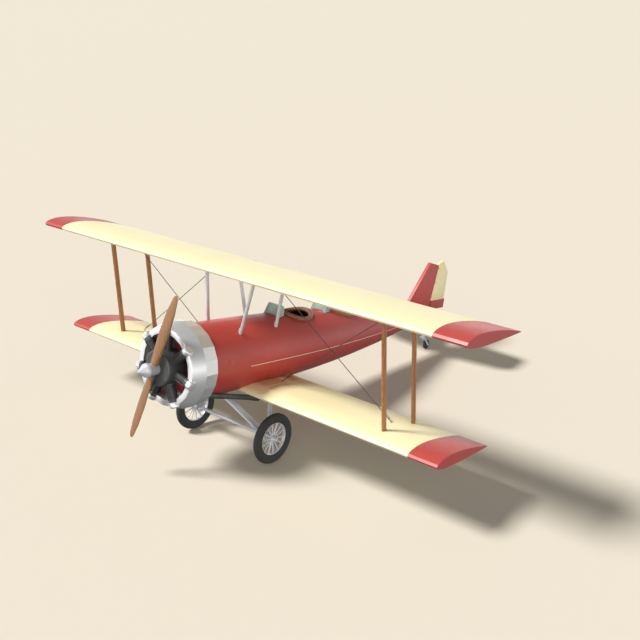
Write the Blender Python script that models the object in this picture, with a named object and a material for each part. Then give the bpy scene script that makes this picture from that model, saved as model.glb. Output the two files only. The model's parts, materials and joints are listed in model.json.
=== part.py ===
"""Two-seat open-cockpit biplane with a radial engine, standing on its wheels.

The shapes are laid out in the aircraft's own datum frame: X to port, Y aft, Z up, with the
propeller shaft along Y at Z = 0. One empty tilts that frame nose up, so that the wheels
and the tail wheel stand on the ground at Z = 0. Metres throughout.
"""
import math

import bmesh
import bpy
from mathutils import Matrix, Vector

# Stance of the datum frame on the ground
NOSE_UP = math.radians(8.72)
DATUM_Y = -1.9086
DATUM_Z = 1.5976
GAP = 0.0004

# Wings: leading edge, datum height, chord, half span, start of the coloured tip
UPPER_LE, UPPER_Z, UPPER_CHORD, UPPER_SPAN, UPPER_TIP = -0.806, 1.389, 1.39, 4.60, 4.07
LOWER_LE, LOWER_Z, LOWER_CHORD, LOWER_SPAN, LOWER_TIP = -0.401, -0.498, 1.34, 4.175, 3.68
WING_THICK, WING_CAMBER, WING_CREST = 0.132, 0.020, 0.36
WING_POINTS = 24
AILERON_IN, AILERON_OUT, AILERON_SHARE = 1.20, 2.94, 0.77

# Fuselage stations: y, half width, top, bottom
FUSELAGE = (
    (-1.20, 0.600, 0.600, -0.600),
    (-0.60, 0.600, 0.600, -0.600),
    (0.00, 0.600, 0.585, -0.600),
    (0.80, 0.595, 0.560, -0.580),
    (1.40, 0.575, 0.535, -0.545),
    (2.00, 0.535, 0.500, -0.500),
    (2.60, 0.475, 0.450, -0.445),
    (3.40, 0.370, 0.370, -0.360),
    (4.40, 0.215, 0.280, -0.220),
    (5.27, 0.075, 0.205, -0.115),
)
FUSELAGE_SIDES = 24
SKIN = 0.030
CABIN_FRONT, CABIN_REAR = 0.35, 3.05
FLOOR_Z = -0.36

# Cockpits: centre, half width and half length of the opening
COCKPITS = (("front", 1.14, 0.292, 0.302), ("rear", 2.36, 0.282, 0.302))
COAMING_R = 0.042
SCREEN_AHEAD = 0.565

# Engine and cowl
ENGINE_Y = -1.660
CYLINDERS = 7
CYLINDER_R, CYLINDER_TOP = 0.070, 0.600
CAP_R, CAP_TOP = 0.080, 0.645
COWL_SIDES = 16
ENGINE_BACK = -1.2004
COWL_REAR, COWL_CREASE, COWL_LIP = -1.2004, -1.450, -1.675
PROP_Y, HUB_BACK = -1.910, 0.065
PROP_REST = math.radians(70.5)

# Undercarriage
WHEEL_X, WHEEL_Y, WHEEL_R, RIM_R = 0.928, -0.1275, 0.422, 0.265
TYRE_WIDE, AXLE_R, SPOKES = 0.105, 0.030, 14
TAIL_WHEEL_Y, TAIL_WHEEL_R = 5.500, 0.095

# Tail
FIN_LE_FOOT, FIN_LE_TOP, FIN_TE_TOP = (4.52, 0.24), (5.233, 1.104), (5.546, 1.030)
RUDDER_FOOT, RUDDER_TOP = (5.381, 0.095), (5.592, 1.060)
RUDDER_BREAK = 0.285
TAIL_Z, TAIL_HALF_SPAN, TAIL_HINGE_Y = 0.035, 1.55, 5.315


def ground_to_datum_z(y, height):
    """Datum height at station y of a point this far above the ground."""
    return (height - DATUM_Z + y * math.sin(NOSE_UP)) / math.cos(NOSE_UP)


WHEEL_Z = ground_to_datum_z(WHEEL_Y, WHEEL_R)
TAIL_WHEEL_Z = ground_to_datum_z(TAIL_WHEEL_Y, TAIL_WHEEL_R)


# Scene and materials
def clear_scene():
    for obj in list(bpy.data.objects):
        bpy.data.objects.remove(obj, do_unlink=True)


def material(name, color, roughness, metallic=0.0, alpha=1.0):
    made = bpy.data.materials.new(name)
    made.use_nodes = True
    shader = made.node_tree.nodes["Principled BSDF"]
    shader.inputs["Base Color"].default_value = (*color, 1.0)
    shader.inputs["Roughness"].default_value = roughness
    shader.inputs["Metallic"].default_value = metallic
    shader.inputs["Alpha"].default_value = alpha
    return made


PAINTS = {
    "cream": ((0.90, 0.84, 0.55), 0.5, 0.0, 1.0),
    "red": ((0.45, 0.045, 0.035), 0.45, 0.0, 1.0),
    "cowl_silver": ((0.62, 0.64, 0.62), 0.35, 0.5, 1.0),
    "steel_grey": ((0.55, 0.55, 0.56), 0.4, 0.6, 1.0),
    "engine_grey": ((0.075, 0.080, 0.080), 0.5, 0.3, 1.0),
    "strut_wood": ((0.26, 0.10, 0.035), 0.5, 0.0, 1.0),
    "prop_wood": ((0.50, 0.22, 0.08), 0.35, 0.0, 1.0),
    "tyre_black": ((0.030, 0.030, 0.027), 0.85, 0.0, 1.0),
    "glass": ((0.33, 0.45, 0.41), 0.1, 0.0, 0.5),
    "leather": ((0.10, 0.055, 0.03), 0.7, 0.0, 1.0),
    "wire_steel": ((0.12, 0.11, 0.09), 0.5, 0.5, 1.0),
    "panel_black": ((0.03, 0.03, 0.03), 0.6, 0.0, 1.0),
    "floor_wood": ((0.35, 0.22, 0.11), 0.6, 0.0, 1.0),
}


# Mesh helpers
def solid(name, verts, faces, paint="red", parent=None, smooth=40):
    """A mesh object from plain lists, with its faces turned outward."""
    mesh = bpy.data.meshes.new(name)
    mesh.from_pydata([tuple(v) for v in verts], [], faces)
    bm = bmesh.new()
    bm.from_mesh(mesh)
    bmesh.ops.remove_doubles(bm, verts=bm.verts, dist=1e-6)
    bmesh.ops.triangulate(bm, faces=bm.faces)
    bmesh.ops.recalc_face_normals(bm, faces=bm.faces)
    if bm.calc_volume(signed=True) < 0:
        bmesh.ops.reverse_faces(bm, faces=bm.faces)
    bm.to_mesh(mesh)
    bm.free()
    obj = bpy.data.objects.new(name, mesh)
    bpy.context.scene.collection.objects.link(obj)
    mesh.materials.append(bpy.data.materials[paint])
    mesh.shade_smooth()
    mesh.set_sharp_from_angle(angle=math.radians(smooth))
    obj.parent = parent
    return obj


def strip_cap(base, count):
    """Faces that close a ring by strips between its two sides."""
    faces = []
    for i in range(count // 2):
        quad = [i, i + 1, count - i - 1, (count - i) % count]
        faces.append([base + v for k, v in enumerate(quad) if v not in quad[:k]])
    return faces


def loft(name, rings, paint="red", parent=None, smooth=40):
    """A closed skin over rings with equal counts of points."""
    count = len(rings[0])
    verts = [p for ring in rings for p in ring]
    faces = strip_cap(0, count) + strip_cap(count * (len(rings) - 1), count)
    for r in range(len(rings) - 1):
        for i in range(count):
            j = (i + 1) % count
            a, b = r * count, (r + 1) * count
            faces.append([a + i, a + j, b + j, b + i])
    return solid(name, verts, faces, paint, parent, smooth)


def lathe(name, profile, sides, axis="Y", phase=0.0, paint="red", parent=None, smooth=40):
    """A closed profile of (along, radius) turned about an axis; radius 0 makes a point."""
    verts, faces, rings = [], [], []
    for along, radius in profile:
        if radius < 1e-6:
            rings.append([len(verts)] * sides)
            verts.append(turned(axis, along, 0.0, 0.0))
            continue
        rings.append(list(range(len(verts), len(verts) + sides)))
        for i in range(sides):
            verts.append(turned(axis, along, radius, phase + 2 * math.pi * i / sides))
    whole = profile[0][1] >= 1e-6 or profile[-1][1] >= 1e-6
    pairs = len(rings) if whole else len(rings) - 1
    for r in range(pairs):
        one, two = rings[r], rings[(r + 1) % len(rings)]
        for i in range(sides):
            j = (i + 1) % sides
            quad = [one[i], one[j], two[j], two[i]]
            face = [v for k, v in enumerate(quad) if v not in quad[:k]]
            if len(face) > 2:
                faces.append(face)
    return solid(name, verts, faces, paint, parent, smooth)


def turned(axis, along, radius, angle):
    a, b = radius * math.cos(angle), radius * math.sin(angle)
    return {"X": (along, a, b), "Y": (a, along, b), "Z": (a, b, along)}[axis]


def rod(name, start, end, wide, thick, toward=(0, 1, 0), count=12, paint="steel_grey",
        parent=None):
    """A straight member with a rounded section, its wide side turned toward a direction."""
    start, end = Vector(start), Vector(end)
    along = (end - start).normalized()
    u = Vector(toward)
    u = (u - along * u.dot(along)).normalized()
    v = along.cross(u)
    rings = []
    for p in (start, end):
        ring = []
        for i in range(count):
            t = 2 * math.pi * i / count
            ring.append(p + u * (wide / 2 * math.cos(t)) + v * (thick / 2 * math.sin(t)))
        rings.append(ring)
    return loft(name, rings, paint, parent)


def box(name, low, high, paint="red", parent=None):
    verts = [(x, y, z) for x in (low[0], high[0]) for y in (low[1], high[1])
             for z in (low[2], high[2])]
    faces = [(0, 1, 3, 2), (4, 6, 7, 5), (0, 4, 5, 1), (2, 3, 7, 6), (0, 2, 6, 4),
             (1, 5, 7, 3)]
    return solid(name, verts, faces, paint, parent)


def plate(name, outline, half, paint="red", parent=None, x=0.0):
    """A plate of (y, z) points, this far to each side of x."""
    count = len(outline)
    verts = [(x + s * half, y, z) for s in (-1, 1) for y, z in outline]
    faces = [list(range(count)), list(range(count, 2 * count))]
    faces += [(i, (i + 1) % count, count + (i + 1) % count, count + i) for i in range(count)]
    return solid(name, verts, faces, paint, parent)


def tube(name, path, radius, count=12, paint="steel_grey", parent=None, closed=False):
    """A round tube along a path of points."""
    path = [Vector(p) for p in path]
    rings = []
    side = Vector((1, 0, 0))
    for i, p in enumerate(path):
        if closed:
            along = path[(i + 1) % len(path)] - path[i - 1]
        else:
            along = path[min(i + 1, len(path) - 1)] - path[max(i - 1, 0)]
        along.normalize()
        if closed:
            side = Vector((0, 0, 1))
        u = (side - along * side.dot(along)).normalized()
        v = along.cross(u)
        rings.append([p + (u * math.cos(t) + v * math.sin(t)) * radius
                      for t in (2 * math.pi * k / count for k in range(count))])
    if not closed:
        return loft(name, rings, paint, parent)
    verts = [p for ring in rings for p in ring]
    faces = []
    for r in range(len(rings)):
        a, b = r * count, (r + 1) % len(rings) * count
        faces += [(a + i, a + (i + 1) % count, b + (i + 1) % count, b + i)
                  for i in range(count)]
    return solid(name, verts, faces, paint, parent)


# Joining and cutting
def combine(obj, other, how):
    """Boolean of obj with other, baked into obj's mesh; the other object is removed."""
    step = obj.modifiers.new("cut", "BOOLEAN")
    step.operation = how
    step.solver = "EXACT"
    step.object = other
    bpy.context.view_layer.update()
    graph = bpy.context.evaluated_depsgraph_get()
    baked = bpy.data.meshes.new_from_object(obj.evaluated_get(graph))
    obj.modifiers.clear()
    obj.data = baked
    weld(baked)
    bpy.data.objects.remove(other, do_unlink=True)
    return obj


def weld(mesh):
    """Joins points that a Boolean left closer than two micrometres, if it stays closed."""
    bm = bmesh.new()
    bm.from_mesh(mesh)
    bmesh.ops.remove_doubles(bm, verts=bm.verts, dist=2e-6)
    if all(len(edge.link_faces) == 2 for edge in bm.edges):
        bm.to_mesh(mesh)
    bm.free()


def grown(obj, by):
    """A copy of obj with every face moved outward, to leave a gap when it cuts."""
    mesh = obj.data.copy()
    bm = bmesh.new()
    bm.from_mesh(mesh)
    bm.normal_update()
    moves = [v.normal * (by * min(v.calc_shell_factor(), 3.0)) for v in bm.verts]
    for v, move in zip(bm.verts, moves):
        v.co += move
    bm.to_mesh(mesh)
    bm.free()
    copy = bpy.data.objects.new(obj.name + "_grown", mesh)
    copy.location, copy.rotation_euler = obj.location, obj.rotation_euler
    copy.parent = obj.parent
    bpy.context.scene.collection.objects.link(copy)
    return copy


def keep_body(obj):
    """Keeps the largest connected piece of obj."""
    bm = bmesh.new()
    bm.from_mesh(obj.data)
    left, islands = set(bm.verts), []
    while left:
        stack, island = [left.pop()], set()
        while stack:
            v = stack.pop()
            island.add(v)
            for edge in v.link_edges:
                other = edge.other_vert(v)
                if other in left:
                    left.discard(other)
                    stack.append(other)
        islands.append(island)

    def spread(island):
        low = [min(v.co[k] for v in island) for k in range(3)]
        high = [max(v.co[k] for v in island) for k in range(3)]
        return sum(h - l for h, l in zip(high, low))

    best = max(islands, key=spread)
    bmesh.ops.delete(bm, geom=[v for v in bm.verts if v not in best], context="VERTS")
    bm.to_mesh(obj.data)
    bm.free()
    return obj


def trim(obj, *others, gap=GAP):
    """Cuts obj back to a small gap from each of the others."""
    for other in others:
        combine(obj, grown(other, gap), "DIFFERENCE")
        keep_body(obj)
    return obj


def repaint(obj, paint):
    """One material on a piece, after Booleans that may have brought in others."""
    obj.data.materials.clear()
    obj.data.materials.append(bpy.data.materials[paint])


def join(obj, *others):
    for other in others:
        combine(obj, other, "UNION")
    return obj


def add_hinge(fixed, moving, at, axis, forward, radius, reach, slot, wide=0.012):
    """A lug on the fixed piece that fills a slot in the moving piece on the hinge line."""
    at, axis, forward = Vector(at), Vector(axis).normalized(), Vector(forward)
    forward = (forward - axis * forward.dot(axis)).normalized()
    across = axis.cross(forward)
    ends = at - axis * wide / 2, at + axis * wide / 2
    lug = rod("lug", *ends, 2 * radius, 2 * radius, forward, 16)
    arm = rod("lug_arm", at, at + forward * reach, 1.3 * radius, 0.86 * wide, across, 12)
    wider = wide / 2 + GAP
    hole = rod("lug_slot", at - axis * wider, at + axis * wider, 2 * slot, 2 * slot, forward,
               20)
    lug.parent = arm.parent = hole.parent = fixed.parent
    join(lug, arm)
    join(fixed, lug)
    combine(moving, hole, "DIFFERENCE")


# Fuselage and cockpits
def fuselage_at(y):
    """Half width, top and bottom of the fuselage at a station, between table rows."""
    for near, far in zip(FUSELAGE, FUSELAGE[1:]):
        if near[0] <= y <= far[0]:
            t = (y - near[0]) / (far[0] - near[0])
            return [a + t * (b - a) for a, b in zip(near[1:], far[1:])]
    return list(FUSELAGE[-1][1:])


def section(y, inset=0.0, sides=FUSELAGE_SIDES):
    half, top, bottom = fuselage_at(y)
    middle = (top + bottom) / 2
    ring = []
    for i in range(sides):
        t = 2 * math.pi * (i + 0.5) / sides - math.pi / 2
        ring.append(Vector(((half - inset) * math.cos(t), y,
                            middle + (top - middle - inset) * math.sin(t))))
    return ring


def skin_top(x, y):
    """Height of the fuselage's upper side over a point."""
    half, top, bottom = fuselage_at(y)
    middle = (top + bottom) / 2
    return middle + (top - middle) * math.sqrt(max(0.0, 1 - (x / half) ** 2))


def cabin_space(name, inset):
    stations = [CABIN_FRONT] + [s[0] for s in FUSELAGE if CABIN_FRONT < s[0] < CABIN_REAR]
    stations.append(CABIN_REAR)
    return loft(name, [section(y, inset) for y in stations])


def opening(name, y, half_x, half_y):
    points = []
    for z in (0.0, 0.9):
        ring = []
        for i in range(24):
            t = 2 * math.pi * i / 24
            ring.append(Vector((half_x * math.cos(t), y + half_y * math.sin(t), z)))
        points.append(ring)
    return loft(name, points)


def build_fuselage(frame):
    hull = loft("fuselage_hull", [section(s[0]) for s in FUSELAGE], "red", frame)
    body = loft("fuselage", [section(s[0]) for s in FUSELAGE], "red", frame)
    cabin = cabin_space("cabin", SKIN)
    cabin.parent = frame
    combine(body, cabin, "DIFFERENCE")
    for label, y, half_x, half_y in COCKPITS:
        hole = opening(label + "_hole", y, half_x, half_y)
        hole.parent = frame
        combine(body, hole, "DIFFERENCE")
    repaint(body, "red")
    return hull, body


def build_cockpits(frame, body):
    for label, y, half_x, half_y in COCKPITS:
        ring = build_coaming(label, y, half_x, half_y, frame, body)
        build_windscreen(label, y - SCREEN_AHEAD, frame, body, ring)
        build_seat(label, y, frame)
        build_panel(label, y - half_y - 0.02, frame)
    floor = box("cockpit_floor", (-0.5, CABIN_FRONT + 0.08, FLOOR_Z - 0.02),
                (0.5, CABIN_REAR - 0.08, FLOOR_Z), "floor_wood", frame)
    space = cabin_space("floor_space", SKIN + GAP)
    space.parent = frame
    combine(floor, space, "INTERSECT")


def build_coaming(label, y, half_x, half_y, frame, body):
    path = []
    for i in range(24):
        t = 2 * math.pi * i / 24
        px, py = (half_x + 0.008) * math.cos(t), y + (half_y + 0.008) * math.sin(t)
        path.append((px, py, skin_top(px, py) + 0.008))
    ring = tube(label + "_coaming", path, COAMING_R, 8, "leather", frame, closed=True)
    return trim(ring, body)


def build_windscreen(label, y, frame, body, ring):
    """A centre pane that leans back, with a pane along each side of it."""
    wall, top = 0.007, fuselage_at(y)[1]
    foot = ((0.175, 0.125, 0.027), (0.170, 0.0, -0.020))
    head = ((0.170, 0.122, 0.151), (0.125, 0.065, 0.170))
    verts = []
    for inner in (0.0, wall):
        low = [(x - inner, y + dy + (inner if dy == 0.0 else 0.0),
                skin_top(x, y + dy) + lift) for x, dy, lift in foot]
        high = [(x - inner, y + dy + (inner if dy == 0.065 else 0.0), top + lift)
                for x, dy, lift in head]
        for side in (low, high):
            verts += [(-x, py, z) for x, py, z in side]
            verts += [(x, py, z) for x, py, z in side[::-1]]
    faces = []
    for a in (0, 8):
        faces += [(a + i, a + i + 1, a + 5 + i, a + 4 + i) for i in range(3)]
    rim = [0, 1, 2, 3, 7, 6, 5, 4]
    faces += [(a, b, b + 8, a + 8) for a, b in zip(rim, rim[1:] + rim[:1])]
    pane = solid(label + "_windscreen", verts, faces, "glass", frame, 20)
    trim(pane, body, ring)


def build_seat(label, y, frame):
    low = FLOOR_Z + GAP
    seat = box(label + "_seat", (-0.20, y - 0.14, low), (0.20, y + 0.26, -0.13), "leather",
               frame)
    back = box("seat_back", (-0.20, y + 0.20, -0.20), (0.20, y + 0.26, 0.24))
    back.parent = frame
    join(seat, back)
    space = cabin_space("seat_space", SKIN + GAP)
    space.parent = frame
    combine(seat, space, "INTERSECT")


def build_panel(label, y, frame):
    panel = box(label + "_panel", (-0.6, y - 0.012, 0.10), (0.6, y, 0.6), "panel_black",
                frame)
    space = cabin_space("panel_space", SKIN + GAP)
    space.parent = frame
    combine(panel, space, "INTERSECT")


# Cowl, engine and exhaust
def on_cylinder(obj, index, frame):
    """Stands a piece made along Z on one of the cylinders' axes."""
    t = math.radians(90 + 360 * index / CYLINDERS)
    obj.matrix_basis = (Matrix.Translation((0, ENGINE_Y, 0))
                        @ Matrix.Rotation(math.pi / 2 - t, 4, "Y"))
    obj.parent = frame
    return obj


def build_cowl(frame):
    """A conical ring with a flat lip and a cap over the end of each cylinder."""
    profile = ((COWL_REAR, 0.560), (COWL_REAR, 0.668), (COWL_CREASE, 0.690),
               (COWL_LIP + 0.006, 0.617), (COWL_LIP, 0.608), (COWL_LIP, 0.526),
               (COWL_LIP + 0.006, 0.518), (COWL_LIP + 0.014, 0.522),
               (COWL_LIP + 0.016, 0.598), (COWL_CREASE + 0.010, 0.664),
               (COWL_REAR - 0.025, 0.645), (COWL_REAR - 0.025, 0.560))
    ring = lathe("cowl_ring", profile, COWL_SIDES, "Y", math.pi / COWL_SIDES, "cowl_silver",
                 frame, 15)
    cap = ((0.553, 0.0), (0.553, CAP_R - 0.004), (0.558, CAP_R), (0.614, CAP_R),
           (0.632, CAP_R - 0.010), (CAP_TOP - 0.003, CAP_R - 0.030), (CAP_TOP, 0.025),
           (CAP_TOP, 0.0))
    space = ((0.40, 0.0), (0.40, CYLINDER_R + GAP), (CYLINDER_TOP + GAP, CYLINDER_R + GAP),
             (CYLINDER_TOP + GAP, 0.0))
    for i in range(CYLINDERS):
        join(ring, on_cylinder(lathe("cap", cap, 14, "Z"), i, frame))
    for i in range(CYLINDERS):
        combine(ring, on_cylinder(lathe("space", space, 14, "Z"), i, frame), "DIFFERENCE")
    repaint(ring, "cowl_silver")


def build_engine(frame):
    face = PROP_Y + HUB_BACK + GAP
    profile = ((ENGINE_BACK, 0.0), (ENGINE_BACK, 0.30), (-1.25, 0.30), (-1.25, 0.20),
               (-1.50, 0.20), (-1.52, 0.28), (-1.82, 0.28), (-1.834, 0.262),
               (-1.834, 0.045), (face, 0.045), (face, 0.0))
    engine = lathe("radial_engine", profile, 28, "Y", 0, "engine_grey", frame)
    for i in range(CYLINDERS):
        join(engine, on_cylinder(build_cylinder(), i, frame))
    repaint(engine, "engine_grey")


def build_cylinder():
    """One finned barrel standing up from the crankcase, with its plain head."""
    neck = CYLINDER_R - 0.012
    profile = [(0.16, 0.0), (0.16, neck)]
    fins, first, pitch = 6, 0.30, 0.030
    for k in range(fins):
        z = first + k * pitch
        profile += [(z, neck), (z, CYLINDER_R), (z + pitch / 2, CYLINDER_R),
                    (z + pitch / 2, neck)]
    profile += [(0.485, neck), (0.485, CYLINDER_R), (CYLINDER_TOP, CYLINDER_R),
                (CYLINDER_TOP, 0.0)]
    return lathe("barrel", profile, 14, "Z")


def build_exhaust(frame, hull):
    pipe = tube("exhaust_pipe", ((0.42, -1.15, -0.43), (0.42, -1.035, -0.462),
                                 (0.42, -0.662, -0.543), (0.42, -0.249, -0.637),
                                 (0.42, -0.01, -0.704)),
                0.045, 12, "engine_grey", frame)
    trim(pipe, hull)


def build_propeller(frame):
    """Two twisted wooden blades and the metal hub with its pointed cap."""
    stations = ((-1.290, 0.030, 0.010, 14), (-1.22, 0.095, 0.014, 15), (-1.0, 0.150, 0.022, 18),
                (-0.65, 0.165, 0.034, 26), (-0.30, 0.140, 0.050, 38), (-0.12, 0.110, 0.070, 50),
                (0.0, 0.105, 0.085, 90))
    rings = []
    for r, chord, thick, pitch in stations:
        rings.append(blade_ring(r, chord, thick, math.radians(pitch)))
    for r, chord, thick, pitch in stations[-2::-1]:
        rings.append(blade_ring(-r, chord, thick, math.radians(180 - pitch)))
    blades = loft("propeller_blades", rings, "prop_wood", frame)
    blades.location = (0, PROP_Y, 0)
    blades.rotation_euler = (0, math.pi / 2 - PROP_REST, 0)
    profile = ((HUB_BACK, 0.0), (HUB_BACK, 0.095), (-0.085, 0.098), (-0.115, 0.112),
               (-0.150, 0.105), (-0.275, 0.012), (-0.280, 0.0))
    hub = lathe("propeller_hub", profile, 20, "Y", 0, "steel_grey", frame)
    hub.location = (0, PROP_Y, 0)
    hub.rotation_euler = (0, math.pi / 2 - PROP_REST, 0)
    trim(hub, blades)


def blade_ring(r, chord, thick, pitch):
    ring = []
    for i in range(12):
        t = 2 * math.pi * i / 12
        u, v = chord / 2 * math.cos(t), thick / 2 * math.sin(t)
        ring.append(Vector((u * math.cos(pitch) - v * math.sin(pitch),
                            u * math.sin(pitch) + v * math.cos(pitch), r)))
    return ring


# Wings and struts
def wing_height(share, side):
    """Height of the section's upper or lower side as a share of the chord."""
    t = WING_THICK
    half = 5 * t * (0.2969 * math.sqrt(share) - 0.1260 * share - 0.3516 * share ** 2
                    + 0.2843 * share ** 3 - 0.0996 * share ** 4)
    m, p = WING_CAMBER, WING_CREST
    if share < p:
        mean = m / p ** 2 * (2 * p * share - share ** 2)
    else:
        mean = m / (1 - p) ** 2 * (1 - 2 * p + 2 * p * share - share ** 2)
    return mean + side * half


def wing_ring(x, leading, height, chord, first=0.0):
    """Section points from the nose over the top to the tail and back underneath."""
    half = WING_POINTS // 2
    ring = []
    for i in range(WING_POINTS):
        side = 1 if i <= half else -1
        k = i if i <= half else WING_POINTS - i
        share = first + (1 - first) * (1 - math.cos(math.pi * k / half)) / 2
        ring.append(Vector((x, leading + share * chord,
                            height + chord * wing_height(share, side))))
    return ring


def wing_part(name, x0, x1, leading, height, chord, paint, frame):
    return loft(name, [wing_ring(x0, leading, height, chord),
                       wing_ring(x1, leading, height, chord)], paint, frame)


def build_wings(frame, hull):
    upper = wing_part("upper_wing", -UPPER_TIP, UPPER_TIP, UPPER_LE, UPPER_Z, UPPER_CHORD,
                      "cream", frame)
    notch = box("notch", (-0.42, UPPER_LE + UPPER_CHORD - 0.16, 1.2), (0.42, 0.9, 1.6))
    notch.parent = frame
    combine(upper, notch, "DIFFERENCE")
    lower = {}
    for label, s in (("port", 1), ("starboard", -1)):
        wing_part(f"upper_tip_{label}", s * (UPPER_TIP + GAP), s * UPPER_SPAN, UPPER_LE,
                  UPPER_Z, UPPER_CHORD, "red", frame)
        wing_part(f"lower_tip_{label}", s * (LOWER_TIP + GAP), s * LOWER_SPAN, LOWER_LE,
                  LOWER_Z, LOWER_CHORD, "red", frame)
        wing = wing_part(f"lower_wing_{label}", s * 0.2, s * LOWER_TIP, LOWER_LE, LOWER_Z,
                         LOWER_CHORD, "cream", frame)
        trim(wing, hull)
        cut_aileron(wing, s, frame)
        aileron = build_aileron(label, s, frame)
        y, z, radius = aileron_axis()
        for share in (0.08, 0.5, 0.92):
            x = s * (AILERON_IN + share * (AILERON_OUT - AILERON_IN))
            add_hinge(wing, aileron, (x, y, z), (1, 0, 0), (0, -1, 0), radius - 0.010,
                      radius + 0.030, radius + 0.004)
        repaint(wing, "cream")
        repaint(aileron, "cream")
        lower[s] = wing
    return upper, lower


def aileron_axis():
    share = AILERON_SHARE
    y = LOWER_LE + share * LOWER_CHORD
    top, low = wing_height(share, 1), wing_height(share, -1)
    z = LOWER_Z + LOWER_CHORD * (top + low) / 2
    return y, z, LOWER_CHORD * (top - low) / 2


def cut_aileron(wing, s, frame):
    y, z, radius = aileron_axis()
    low_x, high_x = sorted((s * (AILERON_IN - 0.006), s * (AILERON_OUT + 0.006)))
    cove = lathe("cove", ((low_x, 0.0), (low_x, radius + 0.007), (high_x, radius + 0.007),
                          (high_x, 0.0)), 24, "X")
    cove.location = (0, y, z)
    cove.parent = frame
    behind = box("behind", (low_x, y, z - 0.3), (high_x, y + 0.6, z + 0.3))
    behind.parent = frame
    join(cove, behind)
    combine(wing, cove, "DIFFERENCE")


def build_aileron(label, s, frame):
    y, z, radius = aileron_axis()
    low_x, high_x = sorted((s * AILERON_IN, s * AILERON_OUT))
    outline = []
    for k in range(9):
        t = math.pi / 2 + math.pi * k / 8
        outline.append((radius * math.cos(t), radius * math.sin(t)))
    under, over = [], []
    for share in (AILERON_SHARE + 0.06, 0.90, 0.95, 1.0):
        py = LOWER_LE + share * LOWER_CHORD - y
        under.append((py, LOWER_Z + LOWER_CHORD * wing_height(share, -1) - z))
        over.append((py, LOWER_Z + LOWER_CHORD * wing_height(share, 1) - z))
    outline += under + over[::-1]
    piece = plate(f"aileron_{label}", outline, (high_x - low_x) / 2, "cream", frame,
                  (low_x + high_x) / 2)
    piece.location = (0, y, z)
    return piece


STRUTS = (
    # label, x, foot y, head y
    ("front", 3.04, -0.09, -0.45),
    ("rear", 3.04, 0.65, 0.29),
)
CABANES = (
    # label, foot x, foot y, head x, head y
    ("front", 0.37, -0.50, 0.555, -0.45),
    ("rear", 0.34, 0.345, 0.555, 0.25),
)
WIRES = (
    # label, lower x, lower y, upper x, upper y
    ("landing", 3.00, 0.29, 0.555, -0.14),
    ("flying", 0.54, 0.31, 3.00, -0.07),
)


def build_struts(frame, hull, upper, lower):
    for label, s in (("port", 1), ("starboard", -1)):
        for where, x, foot_y, head_y in STRUTS:
            strut = rod(f"strut_{label}_{where}", (s * x, foot_y, LOWER_Z + 0.03),
                        (s * x, head_y, UPPER_Z + 0.02), 0.098, 0.052, (0, 1, 0), 12,
                        "strut_wood", frame)
            trim(strut, upper, lower[s])
        for where, foot_x, foot_y, head_x, head_y in CABANES:
            strut = rod(f"cabane_{label}_{where}", (s * foot_x, foot_y, 0.41),
                        (s * head_x, head_y, UPPER_Z + 0.02), 0.075, 0.040, (0, 1, 0), 12,
                        "steel_grey", frame)
            trim(strut, upper, hull)
        for where, low_x, low_y, high_x, high_y in WIRES:
            wire = rod(f"wire_{label}_{where}", (s * low_x, low_y, LOWER_Z + 0.03),
                       (s * high_x, high_y, UPPER_Z), 0.012, 0.012, (0, 1, 0), 6,
                       "wire_steel", frame)
            trim(wire, upper, lower[s])


# Undercarriage
def build_gear(frame, hull, lower):
    lug = ((0.755, AXLE_R), (0.755, 0.045), (0.775, 0.062), (0.845, 0.062), (0.855, 0.050),
           (0.855, AXLE_R), (1.015, AXLE_R), (1.015, 0.0))
    profile = [(-x, r) for x, r in lug[::-1]] + list(lug)
    axle = lathe("axle", profile, 18, "X", 0.1, "steel_grey", frame)
    axle.location = (0, WHEEL_Y, WHEEL_Z)
    for label, s in (("port", 1), ("starboard", -1)):
        front = rod(f"gear_leg_{label}_front", (s * 0.80, WHEEL_Y - 0.02, WHEEL_Z + 0.01),
                    (s * 0.24, -0.66, -0.53), 0.136, 0.050, (0, 1, 0), 12, "steel_grey",
                    frame)
        trim(front, hull, axle)
        rear = rod(f"gear_leg_{label}_rear", (s * 0.82, WHEEL_Y + 0.018, WHEEL_Z + 0.009),
                   (s * 0.52, 0.12, -0.53), 0.036, 0.028, (0, 1, 0), 10, "steel_grey", frame)
        trim(rear, lower[s], axle, front)
        brace = rod(f"gear_brace_{label}", (s * 0.81, WHEEL_Y + 0.038, WHEEL_Z + 0.014),
                    (s * 0.52, 0.22, -0.53), 0.036, 0.028, (0, 1, 0), 10, "steel_grey", frame)
        trim(brace, lower[s], axle, front, rear)
        build_wheel(label, s, frame)


def apply_scale(obj):
    """Puts a mirroring scale into the mesh and keeps its faces outward."""
    obj.data.transform(Matrix.Diagonal((*obj.scale, 1.0)))
    if obj.scale.x * obj.scale.y * obj.scale.z < 0:
        obj.data.flip_normals()
    obj.scale = (1, 1, 1)


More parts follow.
